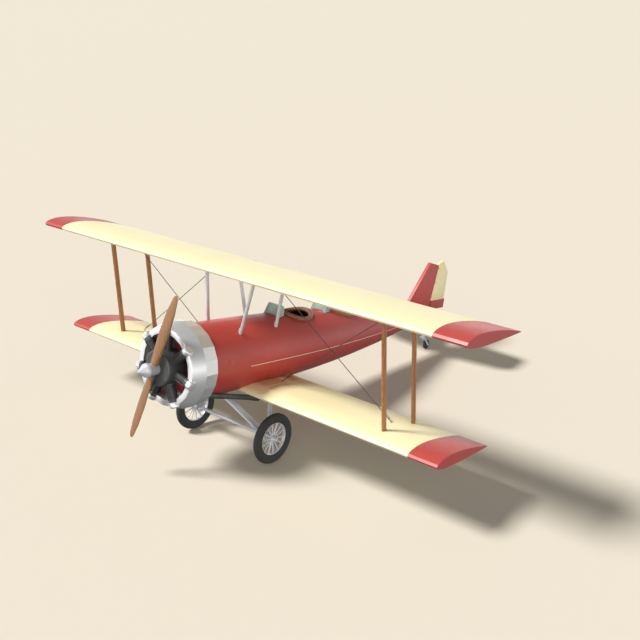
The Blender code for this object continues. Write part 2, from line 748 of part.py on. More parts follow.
def build_wheel(label, s, frame):
    """A spoked wheel and its tyre; the tyre's lowest facet lies flat on the ground."""
    sides, phase = 32, math.pi / 32 - math.pi / 2
    out = 1 / math.cos(math.pi / sides)
    half = TYRE_WIDE / 2
    tread = WHEEL_R * out
    section = ((-half * 0.80, RIM_R + 0.012), (-half, RIM_R + 0.050),
               (-half, WHEEL_R - 0.060), (-half * 0.80, WHEEL_R - 0.022),
               (-half * 0.45, tread), (half * 0.45, tread), (half * 0.80, WHEEL_R - 0.022),
               (half, WHEEL_R - 0.060), (half, RIM_R + 0.050), (half * 0.80, RIM_R + 0.012),
               (half * 0.6, RIM_R), (-half * 0.6, RIM_R))
    tyre = lathe(f"tyre_{label}", section, sides, "X", phase, "tyre_black", frame)
    inner = RIM_R * math.cos(math.pi / sides) - GAP
    bed = inner / math.cos(math.pi / sides)
    rim = lathe(f"wheel_{label}", ((-0.030, inner - 0.012), (-0.030, bed), (0.030, bed),
                                   (0.030, inner - 0.012)),
                sides, "X", phase, "steel_grey", frame)
    hub = lathe("hub", ((-0.060, 0.0), (-0.060, 0.050), (0.030, 0.056), (0.095, 0.044),
                        (0.110, 0.028), (0.110, 0.0)), 16, "X")
    hub.scale = (s, 1, 1)
    apply_scale(hub)
    hub.parent = frame
    for i in range(SPOKES):
        t = 2 * math.pi * (i + 0.5) / SPOKES
        across = Vector((0, math.cos(t), math.sin(t)))
        lean = 0.055 * s if i % 2 else -0.030 * s
        spoke = rod("spoke", across * 0.030 + Vector((lean, 0, 0)), across * (inner - 0.008),
                    0.022, 0.022, (1, 0, 0), 8)
        spoke.parent = frame
        join(hub, spoke)
    join(rim, hub)
    bore = lathe("bore", ((-0.2, 0.0), (-0.2, AXLE_R + 0.0012), (0.095, AXLE_R + 0.0012),
                          (0.095, 0.0)), 24, "X")
    bore.scale = (s, 1, 1)
    apply_scale(bore)
    bore.parent = frame
    combine(rim, bore, "DIFFERENCE")
    repaint(rim, "steel_grey")
    for piece in (tyre, rim):
        piece.location = (s * WHEEL_X, WHEEL_Y, WHEEL_Z)
        piece.rotation_euler = (NOSE_UP, 0, 0)


def build_tail_wheel(frame, hull):
    """A fixed post, a fork that casters on it, and a small wheel."""
    up = Vector((0, -math.sin(NOSE_UP), math.cos(NOSE_UP)))
    wheel = Vector((0, TAIL_WHEEL_Y, TAIL_WHEEL_Z))
    pivot = Vector((0, 5.33, ground_to_datum_z(5.33, 0.332)))
    post = rod("tail_post", (0, 4.98, -0.05), pivot + up * 0.050, 0.075, 0.048, (0, 1, 0),
               12, "steel_grey", frame)
    head = rod("head", pivot + up * GAP, pivot + up * 0.095, 0.066, 0.066, (0, 1, 0), 14)
    head.parent = frame
    join(post, head)
    trim(post, hull)
    crown = rod("tail_fork", pivot - up * 0.055, pivot, 0.066, 0.066, (0, 1, 0),
                14, "steel_grey", frame)
    bar = box("bar", (-0.055, 5.31, pivot.z - 0.060), (0.055, 5.36, pivot.z - 0.030))
    bar.parent = frame
    join(crown, bar)
    for s in (1, -1):
        arm = rod("arm", Vector((s * 0.046, 5.335, pivot.z - 0.04)),
                  wheel + Vector((s * 0.046, 0, 0)), 0.040, 0.012, (0, 1, 0), 8)
        end = lathe("end", ((s * 0.040, 0.0), (s * 0.040, 0.022), (s * 0.052, 0.022),
                            (s * 0.052, 0.0)), 12, "X")
        end.location = wheel
        arm.parent = end.parent = frame
        join(crown, arm, end)
    pin = lathe("pin", ((-0.050, 0.0), (-0.050, 0.008), (0.050, 0.008), (0.050, 0.0)), 12,
                "X")
    pin.location = wheel
    pin.parent = frame
    join(crown, pin)
    for obj in (post, crown):
        repaint(obj, "steel_grey")
    sides = 24
    out = 1 / math.cos(math.pi / sides)
    tyre = lathe("tail_wheel", ((-0.028, 0.0086), (-0.028, 0.070), (-0.016, TAIL_WHEEL_R * out),
                                (0.016, TAIL_WHEEL_R * out), (0.028, 0.070), (0.028, 0.0086)),
                 sides, "X", math.pi / sides - math.pi / 2, "tyre_black", frame)
    tyre.location = wheel
    tyre.rotation_euler = (NOSE_UP, 0, 0)


# Tail surfaces
def hinge_point(z):
    (y0, z0), (y1, z1) = RUDDER_FOOT, RUDDER_TOP
    return y0 + (y1 - y0) * (z - z0) / (z1 - z0)


def build_fin(frame, hull):
    half = 0.034
    foot_z = 0.10
    outline = (FIN_LE_FOOT, FIN_LE_TOP, FIN_TE_TOP, (hinge_point(foot_z) - 0.038, foot_z),
               (4.60, 0.10))
    fin = plate("fin", outline, half, "red", frame)
    return trim(fin, hull)


def build_rudder(frame, fin):
    """The rudder with a rounded nose on its leaning hinge line, and its red heel."""
    half = 0.030
    z_low, z_high = RUDDER_BREAK, RUDDER_TOP[1]
    outline = ((hinge_point(z_low), z_low), (hinge_point(z_high), z_high), (5.717, 1.112),
               (5.920, 0.860), (5.892, z_low))
    rudder = plate("rudder", outline, half, "cream", frame)
    nose = rod("nose", (0, hinge_point(z_low), z_low), (0, hinge_point(z_high), z_high),
               2 * half, 2 * half, (0, 1, 0), 16)
    nose.parent = frame
    join(rudder, nose)
    low = RUDDER_FOOT[1]
    high = RUDDER_BREAK - GAP
    outline = ((hinge_point(low) + 0.010, low), (hinge_point(0.28) + 0.010, high),
               (5.919, high), (5.905, low))
    heel = plate("rudder_heel", outline, 0.036, "red", frame)
    trim(heel, rudder)
    line = (0, RUDDER_TOP[0] - RUDDER_FOOT[0], RUDDER_TOP[1] - RUDDER_FOOT[1])
    for z in (0.36, 0.66, 0.96):
        add_hinge(fin, rudder, (0, hinge_point(z), z), line, (0, -1, 0), 0.022, 0.060, 0.0345)
    repaint(fin, "red")
    base = Vector((0, hinge_point(z_low), z_low))
    for piece in (rudder, heel):
        piece.data.transform(Matrix.Translation(-base))
        piece.location = base
    repaint(rudder, "cream")
    repaint(heel, "red")


def tail_ring(x, front, rear, thick):
    """A slender section: rounded nose, flat sides and a square rear edge."""
    ring = [Vector((x, front, TAIL_Z))]
    steps = ((0.03, 0.35), (0.12, 0.75), (0.35, 1.0), (1.0, 1.0))
    upper = [Vector((x, front + f * (rear - front), TAIL_Z + h * thick / 2))
             for f, h in steps]
    lower = [Vector((x, p.y, 2 * TAIL_Z - p.z)) for p in reversed(upper)]
    return ring + upper + lower


def build_tailplane(frame, hull):
    thick, clear = 0.044, 0.028
    for label, s in (("port", 1), ("starboard", -1)):
        rings = [tail_ring(s * 0.02, 4.72, TAIL_HINGE_Y - clear, thick),
                 tail_ring(s * 1.30, 4.90, TAIL_HINGE_Y - clear, thick),
                 tail_ring(s * TAIL_HALF_SPAN, 5.06, TAIL_HINGE_Y - clear, thick)]
        plane = loft(f"stabiliser_{label}", rings, "cream", frame)
        trim(plane, hull)
        elevator = build_elevator(label, s, thick, frame)
        for x in (0.25, 0.85, 1.42):
            add_hinge(plane, elevator, (s * x, TAIL_HINGE_Y, TAIL_Z), (1, 0, 0), (0, -1, 0),
                      0.016, 0.050, 0.0265)
        repaint(plane, "cream")
        repaint(elevator, "cream")


def build_elevator(label, s, thick, frame):
    """An elevator half with its share of the tube that joins the two."""
    outline = ((0.13, 0.0), (TAIL_HALF_SPAN, 0.0), (TAIL_HALF_SPAN, 0.34), (1.40, 0.45),
               (0.42, 0.50), (0.30, 0.40))
    count = len(outline)
    rear = thick * 0.25
    verts = []
    for side in (-1, 1):
        for x, y in outline:
            height = thick / 2 + (rear - thick / 2) * (y / 0.5)
            verts.append((s * x, y, side * height))
    faces = [list(range(count)), list(range(count, 2 * count))]
    faces += [(i, (i + 1) % count, count + (i + 1) % count, count + i) for i in range(count)]
    piece = solid(f"elevator_{label}", verts, faces, "cream", frame)
    nose = rod("nose", (s * 0.13, 0, 0), (s * TAIL_HALF_SPAN, 0, 0), thick, thick, (0, 1, 0),
               14)
    torque = rod("torque", (s * GAP, 0, 0), (s * 0.20, 0, 0), 0.034, 0.034, (0, 1, 0), 12)
    for extra in (nose, torque):
        extra.parent = frame
        join(piece, extra)
    piece.location = (0, TAIL_HINGE_Y, TAIL_Z)
    return piece


def main():
    clear_scene()
    for name, (color, roughness, metallic, alpha) in PAINTS.items():
        material(name, color, roughness, metallic, alpha)
    frame = bpy.data.objects.new("aircraft", None)
    bpy.context.scene.collection.objects.link(frame)
    hull, body = build_fuselage(frame)
    build_cockpits(frame, body)
    build_cowl(frame)
    build_engine(frame)
    build_exhaust(frame, hull)
    build_propeller(frame)
    upper, lower = build_wings(frame, hull)
    build_struts(frame, hull, upper, lower)
    build_gear(frame, hull, lower)
    build_tail_wheel(frame, hull)
    fin = build_fin(frame, hull)
    build_rudder(frame, fin)
    build_tailplane(frame, hull)
    bpy.data.objects.remove(hull, do_unlink=True)
    frame.location = (0, DATUM_Y, DATUM_Z)
    frame.rotation_euler = (-NOSE_UP, 0, 0)


if __name__ == "__main__":
    main()
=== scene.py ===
"""Looks of the two-seat biplane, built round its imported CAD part.

Shapes are laid out in the aircraft's datum frame (X to port, Y aft, Z up, propeller shaft
along Y at Z = 0) and then set on the ground by one matrix. Metres throughout.
"""

import json
import logging
import math
from dataclasses import dataclass
from enum import Enum

import bmesh
import bpy
from mathutils import Matrix, Vector
from mathutils.bvhtree import BVHTree

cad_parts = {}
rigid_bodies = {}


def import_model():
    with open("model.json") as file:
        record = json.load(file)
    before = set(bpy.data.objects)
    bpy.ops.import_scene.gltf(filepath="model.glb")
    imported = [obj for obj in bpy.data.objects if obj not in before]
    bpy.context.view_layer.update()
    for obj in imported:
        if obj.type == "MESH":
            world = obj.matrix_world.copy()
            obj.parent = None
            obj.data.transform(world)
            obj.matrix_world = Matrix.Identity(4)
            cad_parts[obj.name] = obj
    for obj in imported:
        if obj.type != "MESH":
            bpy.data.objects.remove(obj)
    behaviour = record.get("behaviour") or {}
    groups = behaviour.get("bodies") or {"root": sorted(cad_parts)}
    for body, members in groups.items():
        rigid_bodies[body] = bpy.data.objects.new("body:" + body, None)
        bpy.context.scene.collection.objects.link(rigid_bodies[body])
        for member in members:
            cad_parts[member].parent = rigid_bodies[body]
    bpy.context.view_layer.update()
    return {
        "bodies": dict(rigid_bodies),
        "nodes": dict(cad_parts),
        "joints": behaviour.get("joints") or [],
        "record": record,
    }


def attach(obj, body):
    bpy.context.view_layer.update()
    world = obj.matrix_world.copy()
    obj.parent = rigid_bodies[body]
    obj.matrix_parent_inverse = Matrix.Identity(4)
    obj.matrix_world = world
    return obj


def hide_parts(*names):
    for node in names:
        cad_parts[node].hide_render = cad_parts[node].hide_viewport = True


LOG = logging.getLogger("biplane")
NOSE_UP = math.radians(8.72)
DATUM_Z = 1.5976
STANCE = Matrix.Translation((0.0, -1.9086, DATUM_Z)) @ Matrix.Rotation(-NOSE_UP, 4, "X")
GAP = 0.0004
Ring = list[Vector]
Point = tuple[float, float, float]
Colour = tuple[float, float, float]


def datum_height(y: float, height: float) -> float:
    """Datum height at station y of a point this far above the ground."""
    return (height - DATUM_Z + y * math.sin(NOSE_UP)) / math.cos(NOSE_UP)


# Mesh helpers
def closed_object(name: str, verts: list, faces: list) -> bpy.types.Object:
    """A mesh object with merged points and outward faces.

    Args:
        name: the piece's name.
        verts: points in the datum frame.
        faces: tuples of point numbers.

    Returns:
        The new object, linked to the scene.
    """
    mesh = bpy.data.meshes.new(name)
    mesh.from_pydata([tuple(v) for v in verts], [], [tuple(f) for f in faces])
    bm = bmesh.new()
    bm.from_mesh(mesh)
    bmesh.ops.remove_doubles(bm, verts=bm.verts, dist=1e-6)
    bmesh.ops.recalc_face_normals(bm, faces=bm.faces)
    if bm.calc_volume(signed=True) < 0:
        bmesh.ops.reverse_faces(bm, faces=bm.faces)
    bm.to_mesh(mesh)
    bm.free()
    obj = bpy.data.objects.new(name, mesh)
    bpy.context.scene.collection.objects.link(obj)
    return obj


def strip_cap(base: int, count: int) -> list[list[int]]:
    """Faces that close a ring of points by strips between its two sides."""
    faces = []
    for i in range(count // 2):
        quad = [i, i + 1, count - i - 1, (count - i) % count]
        faces.append([base + v for k, v in enumerate(quad) if v not in quad[:k]])
    return faces


def loft(name: str, rings: list[Ring], loop: bool = False) -> bpy.types.Object:
    """A closed skin over rings of equal counts; a loop joins the last ring to the first."""
    count = len(rings[0])
    verts = [p for ring in rings for p in ring]
    faces: list = []
    if not loop:
        faces += strip_cap(0, count) + strip_cap(count * (len(rings) - 1), count)
    for r in range(len(rings) if loop else len(rings) - 1):
        a, b = r * count, (r + 1) % len(rings) * count
        faces += [(a + i, a + (i + 1) % count, b + (i + 1) % count, b + i)
                  for i in range(count)]
    return closed_object(name, verts, faces)


def turned(axis: str, along: float, radius: float, angle: float) -> Vector:
    """A point at a radius and angle round an axis."""
    a, b = radius * math.cos(angle), radius * math.sin(angle)
    return Vector({"X": (along, a, b), "Y": (a, along, b), "Z": (a, b, along)}[axis])


def lathe(name: str, profile: list[tuple[float, float]], sides: int = 48, axis: str = "Y",
          phase: float = 0.0) -> bpy.types.Object:
    """A profile of (along, radius) turned about an axis.

    Args:
        name: the piece's name.
        profile: points in order; radius 0 at both ends closes it on the axis.
        sides: steps round the axis.
        axis: X, Y or Z.
        phase: angle of the first step.

    Returns:
        The closed object.
    """
    verts: list = []
    rings = []
    for along, radius in profile:
        if radius < 1e-6:
            rings.append([len(verts)] * sides)
            verts.append(turned(axis, along, 0.0, 0.0))
            continue
        rings.append(list(range(len(verts), len(verts) + sides)))
        verts += [turned(axis, along, radius, phase + 2 * math.pi * i / sides)
                  for i in range(sides)]
    pairs = len(rings) if profile[0][1] >= 1e-6 else len(rings) - 1
    faces = []
    for r in range(pairs):
        one, two = rings[r], rings[(r + 1) % len(rings)]
        for i in range(sides):
            j = (i + 1) % sides
            quad = [one[i], one[j], two[j], two[i]]
            face = [v for k, v in enumerate(quad) if v not in quad[:k]]
            if len(face) > 2:
                faces.append(face)
    return closed_object(name, verts, faces)


def member_ring(at: Vector, u: Vector, v: Vector, wide: float, thick: float,
                count: int) -> Ring:
    """A streamlined ring: blunt at the front of u and drawn out at its back."""
    ring = []
    for i in range(count):
        t = 2 * math.pi * i / count
        taper = 1.0 - 0.22 * math.cos(t)
        ring.append(at + u * (wide / 2 * math.cos(t)) + v * (thick / 2 * math.sin(t) * taper))
    return ring


def rod(name: str, start: Point, end: Point, wide: float, thick: float | None = None,
        toward: Point = (0, 1, 0), count: int = 24, stations: int = 2) -> bpy.types.Object:
    """A straight member from start to end.

    Args:
        name: the piece's name.
        start: first end.
        end: other end.
        wide: width along toward; with no thick the member is round.
        thick: thickness across it.
        toward: direction of the wide side.
        count: points in the section.
        stations: rings along it.

    Returns:
        The closed object.
    """
    a, b = Vector(start), Vector(end)
    along = (b - a).normalized()
    u = Vector(toward)
    u = (u - along * u.dot(along)).normalized()
    v = along.cross(u)
    rings = []
    for k in range(stations):
        at = a.lerp(b, k / (stations - 1))
        if thick is None:
            rings.append([at + (u * math.cos(t) + v * math.sin(t)) * wide / 2
                          for t in (2 * math.pi * i / count for i in range(count))])
        else:
            rings.append(member_ring(at, u, v, wide, thick, count))
    return loft(name, rings)


def tube(name: str, path: list, radius: float, count: int = 12,
         loop: bool = False) -> bpy.types.Object:
    """A round tube along a path of points, closed on itself when loop is set."""
    points = [Vector(p) for p in path]
    rings = []
    last = len(points) - 1
    for i, p in enumerate(points):
        if loop:
            along = points[(i + 1) % len(points)] - points[i - 1]
        else:
            along = points[min(i + 1, last)] - points[max(i - 1, 0)]
        along.normalize()
        side = Vector((0, 0, 1)) if abs(along.z) < 0.8 else Vector((1, 0, 0))
        u = (side - along * side.dot(along)).normalized()
        v = along.cross(u)
        rings.append([p + (u * math.cos(t) + v * math.sin(t)) * radius
                      for t in (2 * math.pi * k / count for k in range(count))])
    return loft(name, rings, loop)


def band(name: str, places: list[tuple[Vector, Vector]], half: float,
         lift: float) -> bpy.types.Object:
    """A closed flat band laid right round a body.

    Args:
        name: the piece's name.
        places: points and outward directions in order round the body.
        half: half its width.
        lift: how far its outer side stands off the points.

    Returns:
        The closed object.
    """
    rings = []
    for i, (at, out) in enumerate(places):
        along = places[(i + 1) % len(places)][0] - places[i - 1][0]
        across = along.cross(out).normalized() * half
        inner, outer = at + out * 0.0002, at + out * lift
        rings.append([inner - across, inner + across, outer + across, outer - across])
    return loft(name, rings, True)


def block(name: str, low: Point, high: Point) -> bpy.types.Object:
    """A rectangular body between two corners."""
    verts = [(x, y, z) for x in (low[0], high[0]) for y in (low[1], high[1])
             for z in (low[2], high[2])]
    faces = [(0, 1, 3, 2), (4, 6, 7, 5), (0, 4, 5, 1), (2, 3, 7, 6), (0, 2, 6, 4),
             (1, 5, 7, 3)]
    return closed_object(name, verts, faces)


def bake(obj: bpy.types.Object) -> bpy.types.Object:
    """Puts the modifiers' result into the mesh."""
    bpy.context.view_layer.update()
    graph = bpy.context.evaluated_depsgraph_get()
    mesh = bpy.data.meshes.new_from_object(obj.evaluated_get(graph))
    obj.modifiers.clear()
    obj.data = mesh
    return obj


def bevel(obj: bpy.types.Object, width: float, segments: int = 2,
          angle: float = 30.0) -> bpy.types.Object:
    """Rounds the edges sharper than an angle."""
    step = obj.modifiers.new("round", "BEVEL")
    step.width = width
    step.segments = segments
    step.limit_method = "ANGLE"
    step.angle_limit = math.radians(angle)
    step.harden_normals = False
    return bake(obj)


def subdivide(obj: bpy.types.Object, levels: int = 1) -> bpy.types.Object:
    """Smooths a mesh by subdivision."""
    step = obj.modifiers.new("smooth", "SUBSURF")
    step.levels = step.render_levels = levels
    return bake(obj)


def merge(name: str, *parts: bpy.types.Object) -> bpy.types.Object:
    """One object from several closed shells."""
    bm = bmesh.new()
    for part in parts:
        bm.from_mesh(part.data)
        bpy.data.objects.remove(part, do_unlink=True)
    mesh = bpy.data.meshes.new(name)
    bm.to_mesh(mesh)
    bm.free()
    obj = bpy.data.objects.new(name, mesh)
    bpy.context.scene.collection.objects.link(obj)
    return obj


def moved(obj: bpy.types.Object, matrix: Matrix) -> bpy.types.Object:
    """The object's mesh put through a matrix."""
    obj.data.transform(matrix)
    return obj


def finish_piece(obj: bpy.types.Object, material: bpy.types.Material, body: str,
                 replaces: tuple[str, ...] = (), smooth: float = 35.0,
                 place: Matrix = STANCE) -> bpy.types.Object:
    """Sets a piece on the ground frame, dresses it and hangs it on its body.

    Args:
        obj: the piece, laid out in the datum frame.
        material: its finish.
        body: the CAD body that carries it.
        replaces: CAD nodes that it stands for.
        smooth: edges flatter than this angle are shaded smooth.
        place: matrix from the piece's layout to the ground frame.

    Returns:
        The finished piece.
    """
    moved(obj, place)
    obj.data.materials.clear()
    obj.data.materials.append(material)
    obj.data.polygons.foreach_set("material_index", [0] * len(obj.data.polygons))
    obj.data.shade_smooth()
    obj.data.set_sharp_from_angle(angle=math.radians(smooth))
    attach(obj, body)
    if replaces:
        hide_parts(*replaces)
    LOG.info("%s: %d faces", obj.name, len(obj.data.polygons))
    return obj


# Geometry Nodes
class Repeat:
    """A tree that sets one small shape on every point of a carrier mesh."""

    def __init__(self, name: str) -> None:
        """Makes the tree with its named inputs."""
        tree = bpy.data.node_groups.new(name, "GeometryNodeTree")
        face = tree.interface
        face.new_socket("Geometry", in_out="INPUT", socket_type="NodeSocketGeometry")
        self.radius = face.new_socket("Radius", in_out="INPUT", socket_type="NodeSocketFloat")
        self.height = face.new_socket("Height", in_out="INPUT", socket_type="NodeSocketFloat")
        self.sides = face.new_socket("Sides", in_out="INPUT", socket_type="NodeSocketInt")
        self.finish = face.new_socket("Finish", in_out="INPUT",
                                      socket_type="NodeSocketMaterial")
        face.new_socket("Geometry", in_out="OUTPUT", socket_type="NodeSocketGeometry")
        self.tree = tree
        self._fill()

    def _fill(self) -> None:
        """Points, a tapered head turned along each point's normal, and its finish."""
        add, wire = self.tree.nodes.new, self.tree.links.new
        start, end = add("NodeGroupInput"), add("NodeGroupOutput")
        points = add("GeometryNodeMeshToPoints")
        head = add("GeometryNodeMeshCone")
        taper = add("ShaderNodeMath")
        taper.operation = "MULTIPLY"
        taper.inputs[1].default_value = 0.72
        normal = add("GeometryNodeInputNormal")
        align = add("FunctionNodeAlignEulerToVector")
        align.axis = "Z"
        put = add("GeometryNodeInstanceOnPoints")
        real = add("GeometryNodeRealizeInstances")
        paint = add("GeometryNodeSetMaterial")
        store = add("GeometryNodeStoreNamedAttribute")
        store.data_type = "FLOAT_VECTOR"
        store.domain = "POINT"
        store.inputs["Name"].default_value = "turn"
        read = add("GeometryNodeInputNamedAttribute")
        read.data_type = "FLOAT_VECTOR"
        read.inputs["Name"].default_value = "turn"
        wire(normal.outputs[0], align.inputs["Vector"])
        wire(start.outputs["Geometry"], store.inputs["Geometry"])
        wire(align.outputs[0], store.inputs["Value"])
        wire(store.outputs[0], points.inputs["Mesh"])
        wire(start.outputs["Sides"], head.inputs["Vertices"])
        wire(start.outputs["Radius"], head.inputs["Radius Bottom"])
        wire(start.outputs["Radius"], taper.inputs[0])
        wire(taper.outputs[0], head.inputs["Radius Top"])
        wire(start.outputs["Height"], head.inputs["Depth"])
        wire(points.outputs[0], put.inputs["Points"])
        wire(head.outputs["Mesh"], put.inputs["Instance"])
        wire(read.outputs[0], put.inputs["Rotation"])
        wire(put.outputs[0], real.inputs[0])
        wire(real.outputs[0], paint.inputs["Geometry"])
        wire(start.outputs["Finish"], paint.inputs["Material"])
        wire(paint.outputs[0], end.inputs[0])

    def on(self, name: str, places: list[tuple[Vector, Vector]], radius: float, height: float,
           sides: int, material: bpy.types.Material) -> bpy.types.Object:
        """Small heads at (point, outward direction) pairs, as one plain mesh.

        Args:
            name: the piece's name.
            places: where each head sits and which way it faces.
            radius: radius of its foot.
            height: how far it stands out.
            sides: steps round it.
            material: its finish.

        Returns:
            A mesh object with the heads realised.
        """
        verts, faces = [], []
        for at, out in places:
            side = out.orthogonal().normalized() * 1e-4
            other = out.cross(side).normalized() * 1e-4
            base = len(verts)
            verts += [at + side, at - side * 0.5 + other, at - side * 0.5 - other]
            faces.append((base, base + 1, base + 2))
        mesh = bpy.data.meshes.new(name + "_places")
        mesh.from_pydata([tuple(v) for v in verts], [], faces)
        obj = bpy.data.objects.new(name, mesh)
        bpy.context.scene.collection.objects.link(obj)
        step = obj.modifiers.new("repeat", "NODES")
        step.node_group = self.tree
        step[self.radius.identifier] = radius
        step[self.height.identifier] = height
        step[self.sides.identifier] = sides
        step[self.finish.identifier] = material
        return bake(obj)


# Finishes
class Surface(Enum):
    """The kinds of fine relief a finish may have."""

    WEAVE = "weave"
    PEEL = "peel"
    GRAIN = "grain"
    HIDE = "hide"
    CAST = "cast"


class Sheet:
    """A node tree being filled."""

    def __init__(self, tree: bpy.types.NodeTree) -> None:
        """Keeps the tree."""
        self.tree = tree

    def add(self, kind: str, **settings: object) -> bpy.types.Node:
        """A new node with its settings."""
        node = self.tree.nodes.new(kind)
        for key, value in settings.items():
            setattr(node, key, value)
        return node

    def wire(self, source: bpy.types.NodeSocket, target: bpy.types.NodeSocket) -> None:
        """A link between two sockets."""
        self.tree.links.new(source, target)

    def math(self, how: str, first: object, second: object = 0.0) -> bpy.types.NodeSocket:
        """A Math node over sockets or numbers.

        Args:
            how: the operation.
            first: a socket or a number.
            second: a socket or a number.

        Returns:
            The node's output.
        """
        node = self.add("ShaderNodeMath", operation=how)
        for socket, value in zip(node.inputs, (first, second)):
            if isinstance(value, bpy.types.NodeSocket):
                self.wire(value, socket)
            else:
                socket.default_value = value
        return node.outputs[0]


def new_group(name: str, inputs: dict[str, tuple[str, object]],
              outputs: dict[str, str]) -> tuple[Sheet, bpy.types.Node, bpy.types.Node]:
    """A shader group with named sockets.

    Args:
        name: the group's name.
        inputs: socket name to (socket type, default value).
        outputs: socket name to socket type.

    Returns:
        The sheet to fill, and its input and output nodes.
    """
    tree = bpy.data.node_groups.new(name, "ShaderNodeTree")
    for label, (kind, value) in inputs.items():
        socket = tree.interface.new_socket(label, in_out="INPUT", socket_type=kind)
        if value is not None:
            socket.default_value = value
    for label, kind in outputs.items():
        tree.interface.new_socket(label, in_out="OUTPUT", socket_type=kind)
    sheet = Sheet(tree)
    return sheet, sheet.add("NodeGroupInput"), sheet.add("NodeGroupOutput")


class SharedEffects:
    """Shader groups that several finishes use."""

    def __init__(self) -> None:
        """Builds each group once."""
        self.mottle = self._mottle()
        self.datum = self._datum()
        self.relief = {kind: getattr(self, "_" + kind.value)() for kind in Surface}

    def _mottle(self) -> bpy.types.NodeTree:
        """Two sizes of soft cloud that shift a colour and a roughness."""
        sheet, start, end = new_group(
            "cloudy_wear",
            {"Vector": ("NodeSocketVector", None), "Size": ("NodeSocketFloat", 3.0),
             "First": ("NodeSocketColor", (1, 1, 1, 1)),
             "Second": ("NodeSocketColor", (1, 1, 1, 1)),
             "Low": ("NodeSocketFloat", 0.4), "High": ("NodeSocketFloat", 0.6)},
            {"Color": "NodeSocketColor", "Roughness": "NodeSocketFloat"})
        wide = sheet.add("ShaderNodeTexNoise")
        wide.inputs["Detail"].default_value = 4.0
        fine = sheet.add("ShaderNodeTexNoise")
        fine.inputs["Detail"].default_value = 3.0
        for noise, factor in ((wide, 1.0), (fine, 9.0)):
            sheet.wire(start.outputs["Vector"], noise.inputs["Vector"])
            sheet.wire(sheet.math("MULTIPLY", start.outputs["Size"], factor),
                       noise.inputs["Scale"])
        both = sheet.math("ADD", sheet.math("MULTIPLY", wide.outputs[0], 0.7),
                          sheet.math("MULTIPLY", fine.outputs[0], 0.3))
        clear = sheet.add("ShaderNodeMapRange")
        clear.inputs["From Min"].default_value = 0.35
        clear.inputs["From Max"].default_value = 0.65
        sheet.wire(both, clear.inputs["Value"])
        blend = sheet.add("ShaderNodeMix", data_type="RGBA")
        sheet.wire(clear.outputs[0], blend.inputs[0])
        sheet.wire(start.outputs["First"], blend.inputs[6])
        sheet.wire(start.outputs["Second"], blend.inputs[7])
        rough = sheet.add("ShaderNodeMapRange")
        sheet.wire(clear.outputs[0], rough.inputs["Value"])
        sheet.wire(start.outputs["Low"], rough.inputs["To Min"])
        sheet.wire(start.outputs["High"], rough.inputs["To Max"])
        sheet.wire(blend.outputs[2], end.inputs["Color"])
        sheet.wire(rough.outputs[0], end.inputs["Roughness"])
        return sheet.tree

    def _datum(self) -> bpy.types.NodeTree:
        """Ground-frame coordinates turned into the aircraft's own."""
        sheet, start, end = new_group("datum_axes", {"Vector": ("NodeSocketVector", None)},
                                      {"Vector": "NodeSocketVector"})
        back = STANCE.inverted()
        place = sheet.add("ShaderNodeMapping")
        place.inputs["Location"].default_value = back.to_translation()
        place.inputs["Rotation"].default_value = back.to_euler()
        sheet.wire(start.outputs["Vector"], place.inputs["Vector"])
        sheet.wire(place.outputs[0], end.inputs["Vector"])
        return sheet.tree

    def _height_group(self, name: str) -> tuple[Sheet, bpy.types.Node, bpy.types.Node]:
        """A group from a vector and a size to a height."""
        return new_group(name, {"Vector": ("NodeSocketVector", None),
                                "Size": ("NodeSocketFloat", 1.0)},
                         {"Height": "NodeSocketFloat"})

    def _weave(self) -> bpy.types.NodeTree:
        """Crossed threads with a soft slub."""
        sheet, start, end = self._height_group("woven_cloth")
        total = None
        for direction in ("X", "Y"):
            wave = sheet.add("ShaderNodeTexWave", wave_type="BANDS", bands_direction=direction)
            wave.inputs["Distortion"].default_value = 0.6
            wave.inputs["Detail"].default_value = 1.0
            sheet.wire(start.outputs["Vector"], wave.inputs["Vector"])
            sheet.wire(sheet.math("MULTIPLY", start.outputs["Size"], 150.0),
                       wave.inputs["Scale"])
            half = sheet.math("MULTIPLY", wave.outputs["Fac"], 0.5)
            total = half if total is None else sheet.math("ADD", total, half)
        sheet.wire(total, end.inputs["Height"])
        return sheet.tree

    def _peel(self) -> bpy.types.NodeTree:
        """The gentle ripple of sprayed or brushed paint."""
        sheet, start, end = self._height_group("paint_ripple")
        noise = sheet.add("ShaderNodeTexNoise")
        noise.inputs["Detail"].default_value = 2.0
        sheet.wire(start.outputs["Vector"], noise.inputs["Vector"])
        sheet.wire(sheet.math("MULTIPLY", start.outputs["Size"], 60.0), noise.inputs["Scale"])
        sheet.wire(noise.outputs[0], end.inputs["Height"])
        return sheet.tree

    def _grain(self) -> bpy.types.NodeTree:
        """Long fibres drawn out along Z."""
        sheet, start, end = self._height_group("long_grain")
        stretch = sheet.add("ShaderNodeMapping")
        stretch.inputs["Scale"].default_value = (1.0, 1.0, 0.035)
        noise = sheet.add("ShaderNodeTexNoise")
        noise.inputs["Detail"].default_value = 6.0
        noise.inputs["Roughness"].default_value = 0.65
        sheet.wire(start.outputs["Vector"], stretch.inputs["Vector"])
        sheet.wire(stretch.outputs[0], noise.inputs["Vector"])
        sheet.wire(sheet.math("MULTIPLY", start.outputs["Size"], 90.0), noise.inputs["Scale"])
        sheet.wire(noise.outputs[0], end.inputs["Height"])
        return sheet.tree

